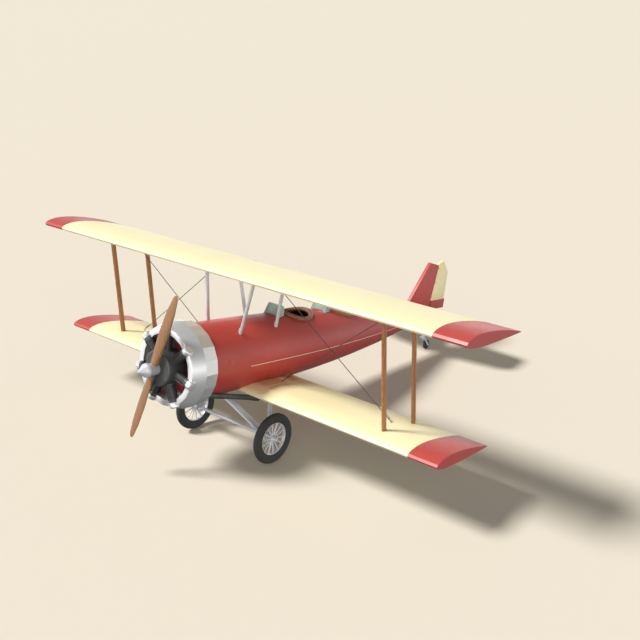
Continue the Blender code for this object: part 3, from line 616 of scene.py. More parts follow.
    def _hide(self) -> bpy.types.NodeTree:
        """The cells of leather grain."""
        sheet, start, end = self._height_group("hide_cells")
        cells = sheet.add("ShaderNodeTexVoronoi", feature="DISTANCE_TO_EDGE")
        sheet.wire(start.outputs["Vector"], cells.inputs["Vector"])
        sheet.wire(sheet.math("MULTIPLY", start.outputs["Size"], 160.0), cells.inputs["Scale"])
        soft = sheet.math("MINIMUM", cells.outputs["Distance"], 0.25)
        sheet.wire(sheet.math("MULTIPLY", soft, 4.0), end.inputs["Height"])
        return sheet.tree

    def _cast(self) -> bpy.types.NodeTree:
        """The pebbled skin of a sand casting."""
        sheet, start, end = self._height_group("cast_skin")
        noise = sheet.add("ShaderNodeTexNoise")
        noise.inputs["Detail"].default_value = 8.0
        noise.inputs["Roughness"].default_value = 0.7
        sheet.wire(start.outputs["Vector"], noise.inputs["Vector"])
        sheet.wire(sheet.math("MULTIPLY", start.outputs["Size"], 220.0), noise.inputs["Scale"])
        sheet.wire(noise.outputs[0], end.inputs["Height"])
        return sheet.tree


@dataclass(frozen=True)
class Finish:
    """One procedural finish: a cloudy colour, a relief and plain shader values."""

    name: str
    first: Colour
    second: Colour
    surface: Surface
    rough: tuple[float, float] = (0.4, 0.5)
    metallic: float = 0.0
    cloud: float = 2.0
    fineness: float = 1.0
    relief: float = 0.15
    depth: float = 0.001
    coat: float = 0.0
    sheen: float = 0.0
    transmission: float = 0.0
    stripe: bool = False

    def build(self, effects: SharedEffects) -> bpy.types.Material:
        """The material, with its groups placed.

        Args:
            effects: the shared groups.

        Returns:
            A new material.
        """
        made = bpy.data.materials.new(self.name)
        made.use_nodes = True
        sheet = Sheet(made.node_tree)
        shader = made.node_tree.nodes["Principled BSDF"]
        where = sheet.add("ShaderNodeTexCoord")
        datum = sheet.add("ShaderNodeGroup", node_tree=effects.datum)
        sheet.wire(where.outputs["Object"], datum.inputs["Vector"])
        cloud = sheet.add("ShaderNodeGroup", node_tree=effects.mottle)
        sheet.wire(datum.outputs["Vector"], cloud.inputs["Vector"])
        cloud.inputs["Size"].default_value = self.cloud
        cloud.inputs["First"].default_value = (*self.first, 1.0)
        cloud.inputs["Second"].default_value = (*self.second, 1.0)
        cloud.inputs["Low"].default_value, cloud.inputs["High"].default_value = self.rough
        height = sheet.add("ShaderNodeGroup", node_tree=effects.relief[self.surface])
        sheet.wire(datum.outputs["Vector"], height.inputs["Vector"])
        height.inputs["Size"].default_value = self.fineness
        bump = sheet.add("ShaderNodeBump")
        bump.inputs["Strength"].default_value = self.relief
        bump.inputs["Distance"].default_value = self.depth
        sheet.wire(height.outputs["Height"], bump.inputs["Height"])
        sheet.wire(bump.outputs["Normal"], shader.inputs["Normal"])
        colour = cloud.outputs["Color"]
        if self.surface is Surface.GRAIN:
            colour = self._figure(sheet, height, colour)
        if self.stripe:
            colour = self._pinstripe(sheet, datum, colour)
        sheet.wire(colour, shader.inputs["Base Color"])
        sheet.wire(cloud.outputs["Roughness"], shader.inputs["Roughness"])
        shader.inputs["Metallic"].default_value = self.metallic
        shader.inputs["Coat Weight"].default_value = self.coat
        shader.inputs["Coat Roughness"].default_value = 0.15
        shader.inputs["Sheen Weight"].default_value = self.sheen
        shader.inputs["Transmission Weight"].default_value = self.transmission
        return made

    def _figure(self, sheet: Sheet, height: bpy.types.Node,
                colour: bpy.types.NodeSocket) -> bpy.types.NodeSocket:
        """Darkens the colour along the fibres."""
        ramp = sheet.add("ShaderNodeMapRange")
        ramp.inputs["From Min"].default_value = 0.35
        ramp.inputs["From Max"].default_value = 0.62
        sheet.wire(height.outputs["Height"], ramp.inputs["Value"])
        mixer = sheet.add("ShaderNodeMix", data_type="RGBA")
        sheet.wire(ramp.outputs[0], mixer.inputs[0])
        mixer.inputs[6].default_value = (*(c * 0.62 for c in self.second), 1.0)
        sheet.wire(colour, mixer.inputs[7])
        return mixer.outputs[2]

    def _pinstripe(self, sheet: Sheet, datum: bpy.types.Node,
                   colour: bpy.types.NodeSocket) -> bpy.types.NodeSocket:
        """A thin cream line along each side of the fuselage."""
        split = sheet.add("ShaderNodeSeparateXYZ")
        sheet.wire(datum.outputs["Vector"], split.inputs[0])
        drop = sheet.math("ADD", split.outputs["Z"],
                          sheet.math("MULTIPLY", split.outputs["Y"], PINSTRIPE_SLOPE))
        near = sheet.math("ABSOLUTE", sheet.math("ADD", drop, -PINSTRIPE_Z))
        inside = sheet.math("LESS_THAN", near, PINSTRIPE_HALF)
        aft = sheet.math("GREATER_THAN", split.outputs["Y"], PINSTRIPE_FRONT)
        fore = sheet.math("LESS_THAN", split.outputs["Y"], PINSTRIPE_REAR)
        mask = sheet.math("MULTIPLY", inside, sheet.math("MULTIPLY", aft, fore))
        mixer = sheet.add("ShaderNodeMix", data_type="RGBA")
        sheet.wire(mask, mixer.inputs[0])
        sheet.wire(colour, mixer.inputs[6])
        mixer.inputs[7].default_value = (0.84, 0.66, 0.48, 1.0)
        return mixer.outputs[2]


PINSTRIPE_Z, PINSTRIPE_HALF, PINSTRIPE_SLOPE = -0.035, 0.005, 0.0
PINSTRIPE_FRONT, PINSTRIPE_REAR = -0.42, 5.10
FINISHES = (
    Finish("doped_cream", (0.91, 0.83, 0.50), (0.89, 0.805, 0.475), Surface.WEAVE,
           (0.42, 0.55), cloud=1.2, relief=0.08, depth=0.0006),
    Finish("doped_red", (0.50, 0.070, 0.056), (0.46, 0.061, 0.049), Surface.WEAVE,
           (0.36, 0.48), cloud=1.2, relief=0.08, depth=0.0006),
    Finish("fuselage_red", (0.48, 0.053, 0.040), (0.44, 0.046, 0.034), Surface.PEEL,
           (0.34, 0.46), cloud=1.0, relief=0.10, depth=0.0008, stripe=True),
    # darker, duller red for the cockpits' inner faces: painted shade of the hollow
    Finish("inner_red_painted_shade", (0.30, 0.022, 0.018), (0.22, 0.018, 0.015), Surface.PEEL,
           (0.5, 0.65), cloud=3.0, relief=0.10, depth=0.0008),
    Finish("cowl_silver", (0.80, 0.805, 0.80), (0.77, 0.775, 0.77), Surface.PEEL,
           (0.20, 0.24), metallic=0.55, cloud=0.3, relief=0.015, depth=0.0004),
    Finish("silver_tube", (0.64, 0.64, 0.66), (0.58, 0.58, 0.60), Surface.PEEL,
           (0.30, 0.42), metallic=0.2, cloud=6.0, relief=0.08, depth=0.0005),
    Finish("engine_enamel", (0.095, 0.098, 0.095), (0.066, 0.068, 0.066), Surface.CAST,
           (0.38, 0.55), metallic=0.25, cloud=6.0, relief=0.25, depth=0.0008),
    Finish("bright_steel", (0.60, 0.60, 0.60), (0.46, 0.46, 0.47), Surface.PEEL,
           (0.22, 0.36), metallic=0.9, cloud=10.0, relief=0.06, depth=0.0004),
    Finish("strut_varnish", (0.52, 0.225, 0.070), (0.41, 0.170, 0.050), Surface.GRAIN,
           (0.32, 0.45), cloud=3.0, relief=0.12, depth=0.0005, coat=0.3),
    Finish("prop_varnish", (0.35, 0.168, 0.057), (0.29, 0.130, 0.042), Surface.GRAIN,
           (0.26, 0.38), cloud=3.0, relief=0.10, depth=0.0004, coat=0.4),
    Finish("floor_boards", (0.34, 0.22, 0.11), (0.26, 0.16, 0.08), Surface.GRAIN,
           (0.5, 0.65), cloud=4.0, relief=0.2, depth=0.0008),
    Finish("tyre_rubber", (0.026, 0.026, 0.024), (0.042, 0.040, 0.036), Surface.CAST,
           (0.72, 0.88), cloud=8.0, relief=0.2, depth=0.0006),
    Finish("screen_glass", (0.42, 0.58, 0.53), (0.40, 0.56, 0.51), Surface.PEEL,
           (0.05, 0.08), cloud=2.0, relief=0.01, depth=0.0002, transmission=0.45),
    Finish("rim_leather", (0.30, 0.140, 0.074), (0.22, 0.102, 0.056), Surface.HIDE,
           (0.48, 0.62), cloud=9.0, relief=0.35, depth=0.0008),
    Finish("seat_leather", (0.17, 0.080, 0.040), (0.11, 0.052, 0.028), Surface.HIDE,
           (0.46, 0.60), cloud=9.0, relief=0.35, depth=0.0008),
    Finish("wire_steel", (0.13, 0.11, 0.085), (0.09, 0.075, 0.06), Surface.PEEL,
           (0.35, 0.5), metallic=0.6, cloud=12.0, relief=0.05, depth=0.0003),
    Finish("panel_black", (0.020, 0.020, 0.020), (0.030, 0.029, 0.028), Surface.CAST,
           (0.5, 0.62), cloud=9.0, relief=0.3, depth=0.0004),
    Finish("dial_white", (0.80, 0.79, 0.74), (0.74, 0.72, 0.66), Surface.PEEL,
           (0.3, 0.4), cloud=9.0, relief=0.02, depth=0.0002),
    Finish("webbing", (0.36, 0.31, 0.20), (0.30, 0.25, 0.16), Surface.WEAVE,
           (0.7, 0.85), cloud=9.0, fineness=3.0, relief=0.5, depth=0.0008, sheen=0.3),
)


class Workshop:
    """The frame, the finishes and the repeat trees that every sub-assembly shares."""

    def __init__(self, frame: dict) -> None:
        """Builds the finishes once."""
        effects = SharedEffects()
        self.frame = frame
        self.paint = {item.name: item.build(effects) for item in FINISHES}
        self.heads = Repeat("small_heads")
        self.strips = Strip("swept_strip")

    def cad_copy(self, node: str, name: str) -> bpy.types.Object:
        """A merged copy of a CAD node, in the ground frame."""
        mesh = self.frame["nodes"][node].data.copy()
        bm = bmesh.new()
        bm.from_mesh(mesh)
        bmesh.ops.remove_doubles(bm, verts=bm.verts, dist=2e-5)
        bmesh.ops.dissolve_limit(bm, angle_limit=math.radians(0.4), verts=bm.verts,
                                 edges=bm.edges)
        bm.to_mesh(mesh)
        bm.free()
        mesh.name = name
        obj = bpy.data.objects.new(name, mesh)
        bpy.context.scene.collection.objects.link(obj)
        return obj

    def refit(self, node: str, paint: str, body: str, slot: str, width: float = 0.0,
              smooth: float = 35.0) -> bpy.types.Object:
        """Dresses a CAD shape as a smooth, edge-rounded piece of its own.

        Args:
            node: the CAD node.
            paint: finish name.
            body: body that carries it.
            slot: not used.
            width: edge rounding, or none.
            smooth: angle under which edges are shaded smooth.

        Returns:
            The piece.
        """
        obj = self.cad_copy(node, node + "_dressed")
        if width:
            bevel(obj, width, 2, 40.0)
        return finish_piece(obj, self.paint[paint], body, (node,), smooth,
                            Matrix.Identity(4))

    def skin(self, *nodes: str) -> "Skin":
        """The surface of some CAD nodes, in the datum frame."""
        return Skin([self.frame["nodes"][node].data for node in nodes])

    def rivets(self, name: str, places: list[tuple[Vector, Vector]], radius: float,
               height: float, paint: str, body: str, slot: str,
               sides: int = 8) -> bpy.types.Object | None:
        """Small heads as one dressed piece."""
        if not places:
            return None
        obj = self.heads.on(name, places, radius, height, sides, self.paint[paint])
        return finish_piece(obj, self.paint[paint], body, smooth=50)

    def tapes(self, name: str, lines: list[list[Vector]], width: float, height: float,
              paint: str, body: str, slot: str) -> bpy.types.Object | None:
        """Flat strips along lines as one dressed piece."""
        lines = [line for line in lines if len(line) > 1]
        if not lines:
            return None
        obj = self.strips.on(name, lines, width, height, self.paint[paint])
        return finish_piece(obj, self.paint[paint], body, smooth=50)


class Strip:
    """A tree that sweeps a flat section along every line of a carrier mesh."""

    def __init__(self, name: str) -> None:
        """Makes the tree with its named inputs."""
        tree = bpy.data.node_groups.new(name, "GeometryNodeTree")
        face = tree.interface
        face.new_socket("Geometry", in_out="INPUT", socket_type="NodeSocketGeometry")
        self.width = face.new_socket("Width", in_out="INPUT", socket_type="NodeSocketFloat")
        self.height = face.new_socket("Height", in_out="INPUT", socket_type="NodeSocketFloat")
        self.finish = face.new_socket("Finish", in_out="INPUT",
                                      socket_type="NodeSocketMaterial")
        face.new_socket("Geometry", in_out="OUTPUT", socket_type="NodeSocketGeometry")
        self.tree = tree
        add, wire = tree.nodes.new, tree.links.new
        start, end = add("NodeGroupInput"), add("NodeGroupOutput")
        curve = add("GeometryNodeMeshToCurve")
        upright = add("GeometryNodeSetCurveNormal")
        upright.mode = "Z_UP"
        section = add("GeometryNodeCurvePrimitiveQuadrilateral")
        sweep = add("GeometryNodeCurveToMesh")
        sweep.inputs["Fill Caps"].default_value = True
        real = add("GeometryNodeRealizeInstances")
        paint = add("GeometryNodeSetMaterial")
        wire(start.outputs["Geometry"], curve.inputs["Mesh"])
        wire(curve.outputs[0], upright.inputs["Curve"])
        wire(start.outputs["Width"], section.inputs["Width"])
        wire(start.outputs["Height"], section.inputs["Height"])
        wire(upright.outputs[0], sweep.inputs["Curve"])
        wire(section.outputs[0], sweep.inputs["Profile Curve"])
        wire(sweep.outputs[0], real.inputs[0])
        wire(real.outputs[0], paint.inputs["Geometry"])
        wire(start.outputs["Finish"], paint.inputs["Material"])
        wire(paint.outputs[0], end.inputs[0])

    def on(self, name: str, lines: list[list[Vector]], width: float, height: float,
           material: bpy.types.Material) -> bpy.types.Object:
        """The strips along some lines, as one plain mesh.

        Args:
            name: the piece's name.
            lines: point lists.
            width: width of each strip.
            height: its thickness.
            material: its finish.

        Returns:
            A mesh object.
        """
        verts, edges = [], []
        for line in lines:
            edges += [(len(verts) + i, len(verts) + i + 1) for i in range(len(line) - 1)]
            verts += [tuple(p) for p in line]
        mesh = bpy.data.meshes.new(name + "_lines")
        mesh.from_pydata(verts, edges, [])
        obj = bpy.data.objects.new(name, mesh)
        bpy.context.scene.collection.objects.link(obj)
        step = obj.modifiers.new("sweep", "NODES")
        step.node_group = self.tree
        step[self.width.identifier] = width
        step[self.height.identifier] = height
        step[self.finish.identifier] = material
        bake(obj)
        bm = bmesh.new()
        bm.from_mesh(obj.data)
        bmesh.ops.recalc_face_normals(bm, faces=bm.faces)
        bm.to_mesh(obj.data)
        bm.free()
        return obj


class Skin:
    """A surface in the datum frame that detail can be laid on."""

    def __init__(self, meshes: list[bpy.types.Mesh]) -> None:
        """Reads the meshes into one search tree."""
        back = STANCE.inverted()
        verts: list[Vector] = []
        faces: list[tuple[int, ...]] = []
        for mesh in meshes:
            base = len(verts)
            verts += [back @ v.co for v in mesh.vertices]
            faces += [tuple(base + i for i in p.vertices) for p in mesh.polygons]
        self.tree = BVHTree.FromPolygons(verts, faces)

    def hit(self, start: Point, way: Point) -> tuple[Vector, Vector] | None:
        """First point and outward normal met from start along way, if any."""
        aim = Vector(way).normalized()
        at, normal, _, _ = self.tree.ray_cast(Vector(start), aim)
        if at is None:
            return None
        return at, normal if normal.dot(aim) < 0 else -normal

    def line(self, starts: list[Point], way: Point, lift: float = 0.0) -> list[Vector]:
        """The surface points met from each start, lifted a little off it."""
        found = [self.hit(start, way) for start in starts]
        return [at + normal * lift for at, normal in (f for f in found if f)]


FUSELAGE_ROWS = ((-1.20, 0.600, 0.600, -0.600), (-0.60, 0.600, 0.600, -0.600),
                 (0.00, 0.600, 0.585, -0.600), (0.80, 0.595, 0.560, -0.580),
                 (1.40, 0.575, 0.535, -0.545), (2.00, 0.535, 0.500, -0.500),
                 (2.60, 0.475, 0.450, -0.445), (3.40, 0.370, 0.370, -0.360),
                 (4.40, 0.215, 0.280, -0.220), (5.27, 0.075, 0.205, -0.115))


def fuselage_at(y: float) -> tuple[float, float, float]:
    """Half width, top and bottom of the fuselage at a station."""
    for near, far in zip(FUSELAGE_ROWS, FUSELAGE_ROWS[1:]):
        if near[0] <= y <= far[0]:
            t = (y - near[0]) / (far[0] - near[0])
            half, top, bottom = (a + t * (b - a) for a, b in zip(near[1:], far[1:]))
            return half, top, bottom
    return FUSELAGE_ROWS[-1][1:]


def skin_top(x: float, y: float) -> float:
    """Height of the fuselage's upper side over a point."""
    half, top, bottom = fuselage_at(y)
    middle = (top + bottom) / 2
    return middle + (top - middle) * math.sqrt(max(0.0, 1 - (x / half) ** 2))


@dataclass
class Fuselage:
    """The main shell with its panel rivets, tapes and inspection covers."""

    shop: Workshop
    metal_rear: float = 0.32
    frames: tuple[float, ...] = (-1.17, -0.62, 0.30)
    tape_stations: tuple[float, ...] = (3.35, 3.80, 4.25, 4.70)
    tape_half: float = 0.011
    tape_lift: float = 0.0010
    rivet_radius: float = 0.0032
    rivet_height: float = 0.0016

    def build(self) -> None:
        """Shell, rivets and tapes."""
        shell = self.shop.refit("fuselage", "fuselage_red", "airframe", "red", 0.0, 24.0)
        self._paint_inside_shade(shell)
        skin = Skin([shell.data])
        self._rivets(skin)
        self._tapes(skin)
        self._hatches(skin)

    def _paint_inside_shade(self, shell: bpy.types.Object) -> None:
        """Gives the cockpit's inner faces a darker red, which is painted shade of the hollow."""
        shell.data.materials.append(self.shop.paint["inner_red_painted_shade"])
        back = STANCE.inverted()
        for face in shell.data.polygons:
            at = back @ face.center
            half, top, bottom = fuselage_at(at.y)
            middle = (top + bottom) / 2
            out = (at.x / half) ** 2 + ((at.z - middle) / (top - middle)) ** 2
            # faces inside the shell take the darker red as painted shade
            if 0.33 < at.y < 3.08 and out < 0.955:
                face.material_index = 1

    def _round(self, skin: Skin, y: float, step: float) -> list[tuple[Vector, Vector]]:
        """Points and normals round the shell at one station."""
        half, top, bottom = fuselage_at(y)
        middle = (top + bottom) / 2
        count = int(2 * math.pi * half / step)
        places = []
        for i in range(count):
            t = 2 * math.pi * (i + 0.5) / count
            way = (-math.cos(t), 0.0, -math.sin(t))
            found = skin.hit((1.2 * math.cos(t), y, middle + 1.2 * math.sin(t)), way)
            if found and (found[0] - Vector((0, y, middle))).length > half * 0.8:
                places.append(found)
        return places

    def _rivets(self, skin: Skin) -> None:
        """Rings and lengthwise rows of rivets on the front panels."""
        places = []
        for y in self.frames:
            places += self._round(skin, y, 0.045)
        for degrees in (-42, 42, 138, 222):
            t = math.radians(degrees)
            for k in range(32):
                y = -1.13 + k * 0.045
                way = (-math.cos(t), 0.0, -math.sin(t))
                found = skin.hit((1.2 * math.cos(t), y, 1.2 * math.sin(t)), way)
                if found:
                    places.append(found)
        self.shop.rivets("fuselage_rivets", places, self.rivet_radius, self.rivet_height,
                         "fuselage_red", "airframe", "red", 7)

    def _tapes(self, skin: Skin) -> None:
        """Flat finishing tapes round the fabric rear of the shell."""
        bands = [band("tape", self._round(skin, y, 0.03), self.tape_half, self.tape_lift)
                 for y in self.tape_stations]
        finish_piece(merge("fuselage_tapes", *bands), self.shop.paint["fuselage_red"],
                     "airframe", smooth=50)

    def _hatches(self, skin: Skin) -> None:
        """Small inspection covers on both sides."""
        for side, label in ((1, "port"), (-1, "starboard")):
            parts = []
            for y, z in ((-0.86, 0.10), (3.55, 0.02)):
                found = skin.hit((side * 1.5, y, z), (-side, 0, 0))
                if not found:
                    continue
                at, normal = found
                disc = lathe("cover", [(-0.004, 0.0), (-0.004, 0.055), (0.0012, 0.055),
                                       (0.0022, 0.050), (0.0022, 0.0)], 36, "Z")
                disc.data.transform(Matrix.Translation(at)
                                    @ normal.to_track_quat("Z", "Y").to_matrix().to_4x4())
                parts.append(disc)
            if parts:
                finish_piece(merge(f"inspection_covers_{label}", *parts),
                             self.shop.paint["fuselage_red"], "airframe")


@dataclass
class Cowl:
    """The ring round the engine: faceted band, cone, flat lip and cylinder caps."""

    shop: Workshop
    rear: float = -1.2004
    crease: float = -1.450
    lip: float = -1.675
    facets: int = 20
    cylinders: int = 7
    cylinder_y: float = -1.660
    fasteners: int = 40

    def build(self) -> None:
        """Ring, caps and fasteners."""
        ring = lathe("ring", [(self.rear, 0.560), (self.rear, 0.664), (self.rear - 0.004, 0.668),
                              (self.crease, 0.690), (self.lip + 0.007, 0.6175),
                              (self.lip + 0.002, 0.6140), (self.lip, 0.6080),
                              (self.lip, 0.5260), (self.lip + 0.0015, 0.5210),
                              (self.lip + 0.006, 0.5180), (self.lip + 0.012, 0.5190),
                              (self.lip + 0.014, 0.5240), (self.lip + 0.016, 0.5980),
                              (self.crease + 0.010, 0.6640), (self.rear - 0.025, 0.6450),
                              (self.rear - 0.025, 0.5600)], self.facets)
        parts = [ring]
        for i in range(self.cylinders):
            turn = math.radians(90) + 2 * math.pi * i / self.cylinders
            cap = lathe("cap", [(0.553, 0.0), (0.553, 0.073), (0.5555, 0.0775),
                                (0.562, 0.079), (0.618, 0.079), (0.630, 0.075),
                                (0.640, 0.062), (0.644, 0.040), (0.645, 0.0)], 32, "Z")
            spin = Matrix.Rotation(math.pi / 2 - turn, 4, "Y")
            parts.append(moved(cap, Matrix.Translation((0, self.cylinder_y, 0)) @ spin))
        dressed = finish_piece(merge("cowl_ring_dressed", *parts),
                               self.shop.paint["cowl_silver"], "airframe",
                               ("cowl_ring",), 20.5)
        self._flatten_band(dressed)
        self._fasteners(Skin([dressed.data]))

    def _flatten_band(self, dressed: bpy.types.Object) -> None:
        """Leaves the band behind the crease in flat facets."""
        back = STANCE.inverted()
        for face in dressed.data.polygons:
            if (back @ face.center).y > self.crease + 0.004:
                face.use_smooth = False

    def _fasteners(self, skin: Skin) -> None:
        """Small heads along the band's rear edge and behind the crease."""
        places = []
        for y in (self.rear - 0.022, self.crease + 0.022):
            for i in range(self.fasteners):
                t = 2 * math.pi * (i + 0.5) / self.fasteners
                found = skin.hit((1.2 * math.cos(t), y, 1.2 * math.sin(t)),
                                 (-math.cos(t), 0, -math.sin(t)))
                if found:
                    places.append(found)
        self.shop.rivets("cowl_fasteners", places, 0.0042, 0.0014, "cowl_silver", "airframe",
                         "cowl_silver")


@dataclass
class RadialEngine:
    """Seven finned cylinders round a crankcase, their ends under the cowl's caps."""

    shop: Workshop
    y: float = -1.660
    cylinders: int = 7
    barrel: float = 0.0735
    fin_radius: float = 0.0780
    fins: int = 17
    foot: float = 0.270
    top: float = 0.5995
    face: float = -1.834

    def build(self) -> None:
        """Crankcase, cylinders, push rods, intake pipes and bolts."""
        shop = self.shop
        rear = self.y + 0.150
        case = lathe("case", [(-1.2006, 0.0), (-1.2006, 0.150), (-1.300, 0.190),
                              (-1.420, 0.225), (rear - 0.012, 0.262), (rear, 0.280),
                              (self.face + 0.014, 0.280), (self.face, 0.264),
                              (self.face, 0.232), (self.face + 0.004, 0.228),
                              (self.face + 0.004, 0.100), (self.face, 0.094),
                              (self.face, 0.050), (-1.8444, 0.046), (-1.8444, 0.0)], 64)
        bevel(case, 0.003, 2)
        body = [case]
        tubes = []
        fins: list[tuple[Vector, Vector]] = []
        bolts: list[tuple[Vector, Vector]] = []
        for i in range(self.cylinders):
            turn = math.radians(90) + 2 * math.pi * i / self.cylinders
            out = Vector((math.cos(turn), 0.0, math.sin(turn)))
            body.append(self._barrel(turn))
            tubes += self._tubes(turn)
            for k in range(self.fins):
                r = self.foot + 0.034 + k * 0.0115
                fins.append((out * r + Vector((0, self.y, 0)), out))
            bolts += self._bolts(turn)
        finish_piece(merge("engine_case", *body), shop.paint["engine_enamel"], "airframe",
                     ("radial_engine",), 40)
        finish_piece(merge("engine_tubes", *tubes), shop.paint["engine_enamel"], "airframe",
                     (), 40)
        shop.rivets("engine_fins", fins, self.fin_radius, 0.0045, "engine_enamel", "airframe",
                    "engine_grey", 36)
        for i in range(14):
            t = 2 * math.pi * (i + 0.5) / 14
            bolts.append((Vector((0.248 * math.cos(t), self.face, 0.248 * math.sin(t))),
                          Vector((0, -1, 0))))
        shop.rivets("engine_bolts", bolts, 0.0075, 0.005, "engine_enamel", "airframe",
                    "engine_grey", 6)

    def _turned_out(self, obj: bpy.types.Object, turn: float) -> bpy.types.Object:
        """Moves a part built along Z from the shaft out to its cylinder's angle."""
        spin = Matrix.Rotation(math.pi / 2 - turn, 4, "Y")
        return moved(obj, Matrix.Translation((0, self.y, 0)) @ spin)

    def _barrel(self, turn: float) -> bpy.types.Object:
        """The cylinder's base flange, core and plain head."""
        head = self.foot + 0.034 + self.fins * 0.0115
        profile = [(self.foot, 0.0), (self.foot, 0.088), (self.foot + 0.020, 0.088),
                   (self.foot + 0.024, self.barrel), (head, self.barrel),
                   (head + 0.003, 0.0765), (self.top - 0.006, 0.0765),
                   (self.top, 0.070), (self.top, 0.0)]
        return self._turned_out(lathe("barrel", profile, 36, "Z"), turn)

    def _tubes(self, turn: float) -> list[bpy.types.Object]:
        """Two push-rod tubes in front and an intake pipe behind."""
        parts = []
        for side in (-1, 1):
            parts.append(self._turned_out(
                rod("pushrod", (side * 0.034, -0.080, 0.262), (side * 0.028, -0.078, 0.515),
                    0.011, count=10), turn))
        path = [(0.030, 0.105, 0.20), (0.034, 0.115, 0.30), (0.036, 0.112, 0.40),
                (0.034, 0.095, 0.455), (0.026, 0.060, 0.478)]
        parts.append(self._turned_out(tube("intake", path, 0.017, 12), turn))
        return parts

    def _bolts(self, turn: float) -> list[tuple[Vector, Vector]]:
        """Nuts round the cylinder's base flange, on the side that shows."""
        out = Vector((math.cos(turn), 0.0, math.sin(turn)))
        side = Vector((-math.sin(turn), 0.0, math.cos(turn)))
        places = []
        for degrees in (-90, -50, -130, -10, 190):
            t = math.radians(degrees)
            at = out * (self.foot + 0.020) + side * (0.074 * math.cos(t))
            places.append((at + Vector((0, self.y + 0.074 * math.sin(t), 0)), out))
        return places


@dataclass
class Propeller:
    """Two varnished blades, a hub and a faceted spinner."""

    shop: Workshop
    y: float = -1.910
    rest: float = math.radians(90.0 - 70.5)
    stations: tuple[tuple[float, float, float, float], ...] = (
        (1.290, 0.024, 0.008, 3), (1.282, 0.050, 0.011, 3), (1.262, 0.078, 0.013, 4),
        (1.220, 0.105, 0.014, 4), (1.000, 0.165, 0.022, 6), (0.650, 0.190, 0.034, 8),
        (0.300, 0.165, 0.050, 11), (0.120, 0.130, 0.070, 14), (0.085, 0.120, 0.075, 16))
    bolts: int = 8

    def build(self) -> None:
        """Blades, hub and bolts."""
        shop = self.shop
        turn = Matrix.Rotation(self.rest, 4, "Y")
        place = STANCE @ Matrix.Translation((0, self.y, 0)) @ turn
        blades = []
        for flip in (0, 1):
            blade = loft("blade", [self._ring(*row) for row in self.stations])
            blade.data.transform(Matrix.Rotation(math.pi * flip, 4, "Y"))
            blades.append(blade)
        finish_piece(merge("propeller_blades_dressed", *blades), shop.paint["prop_varnish"],
                     "propeller", ("propeller_blades",), 60, place)
        shop.refit("propeller_hub", "silver_tube", "propeller", "steel_grey", 0.002, 18.0)
        places = []
        for i in range(self.bolts):
            t = 2 * math.pi * (i + 0.5) / self.bolts
            places.append((Vector((0.086 * math.cos(t), 0.0645, 0.086 * math.sin(t))),
                           Vector((0, 1, 0))))
        ring = shop.heads.on("hub_bolts", places, 0.008, 0.0009, 6,
                             shop.paint["bright_steel"])
        finish_piece(ring, shop.paint["bright_steel"], "propeller", (), 40,
                     place)

    def _ring(self, r: float, chord: float, thick: float, pitch: float) -> Ring:
        """A blade section at a radius, built upward along Z."""
        ring = []
        angle = math.radians(pitch)
        for i in range(28):
            t = 2 * math.pi * i / 28
            along = chord * (0.5 * math.cos(t) - 0.04)
            up = thick / 2 * math.sin(t) * (1.0 + 0.25 * math.cos(t))
            x = along * math.cos(angle) - up * math.sin(angle)
            y = along * math.sin(angle) + up * math.cos(angle)
            ring.append(Vector((x, y, r)))
        return ring


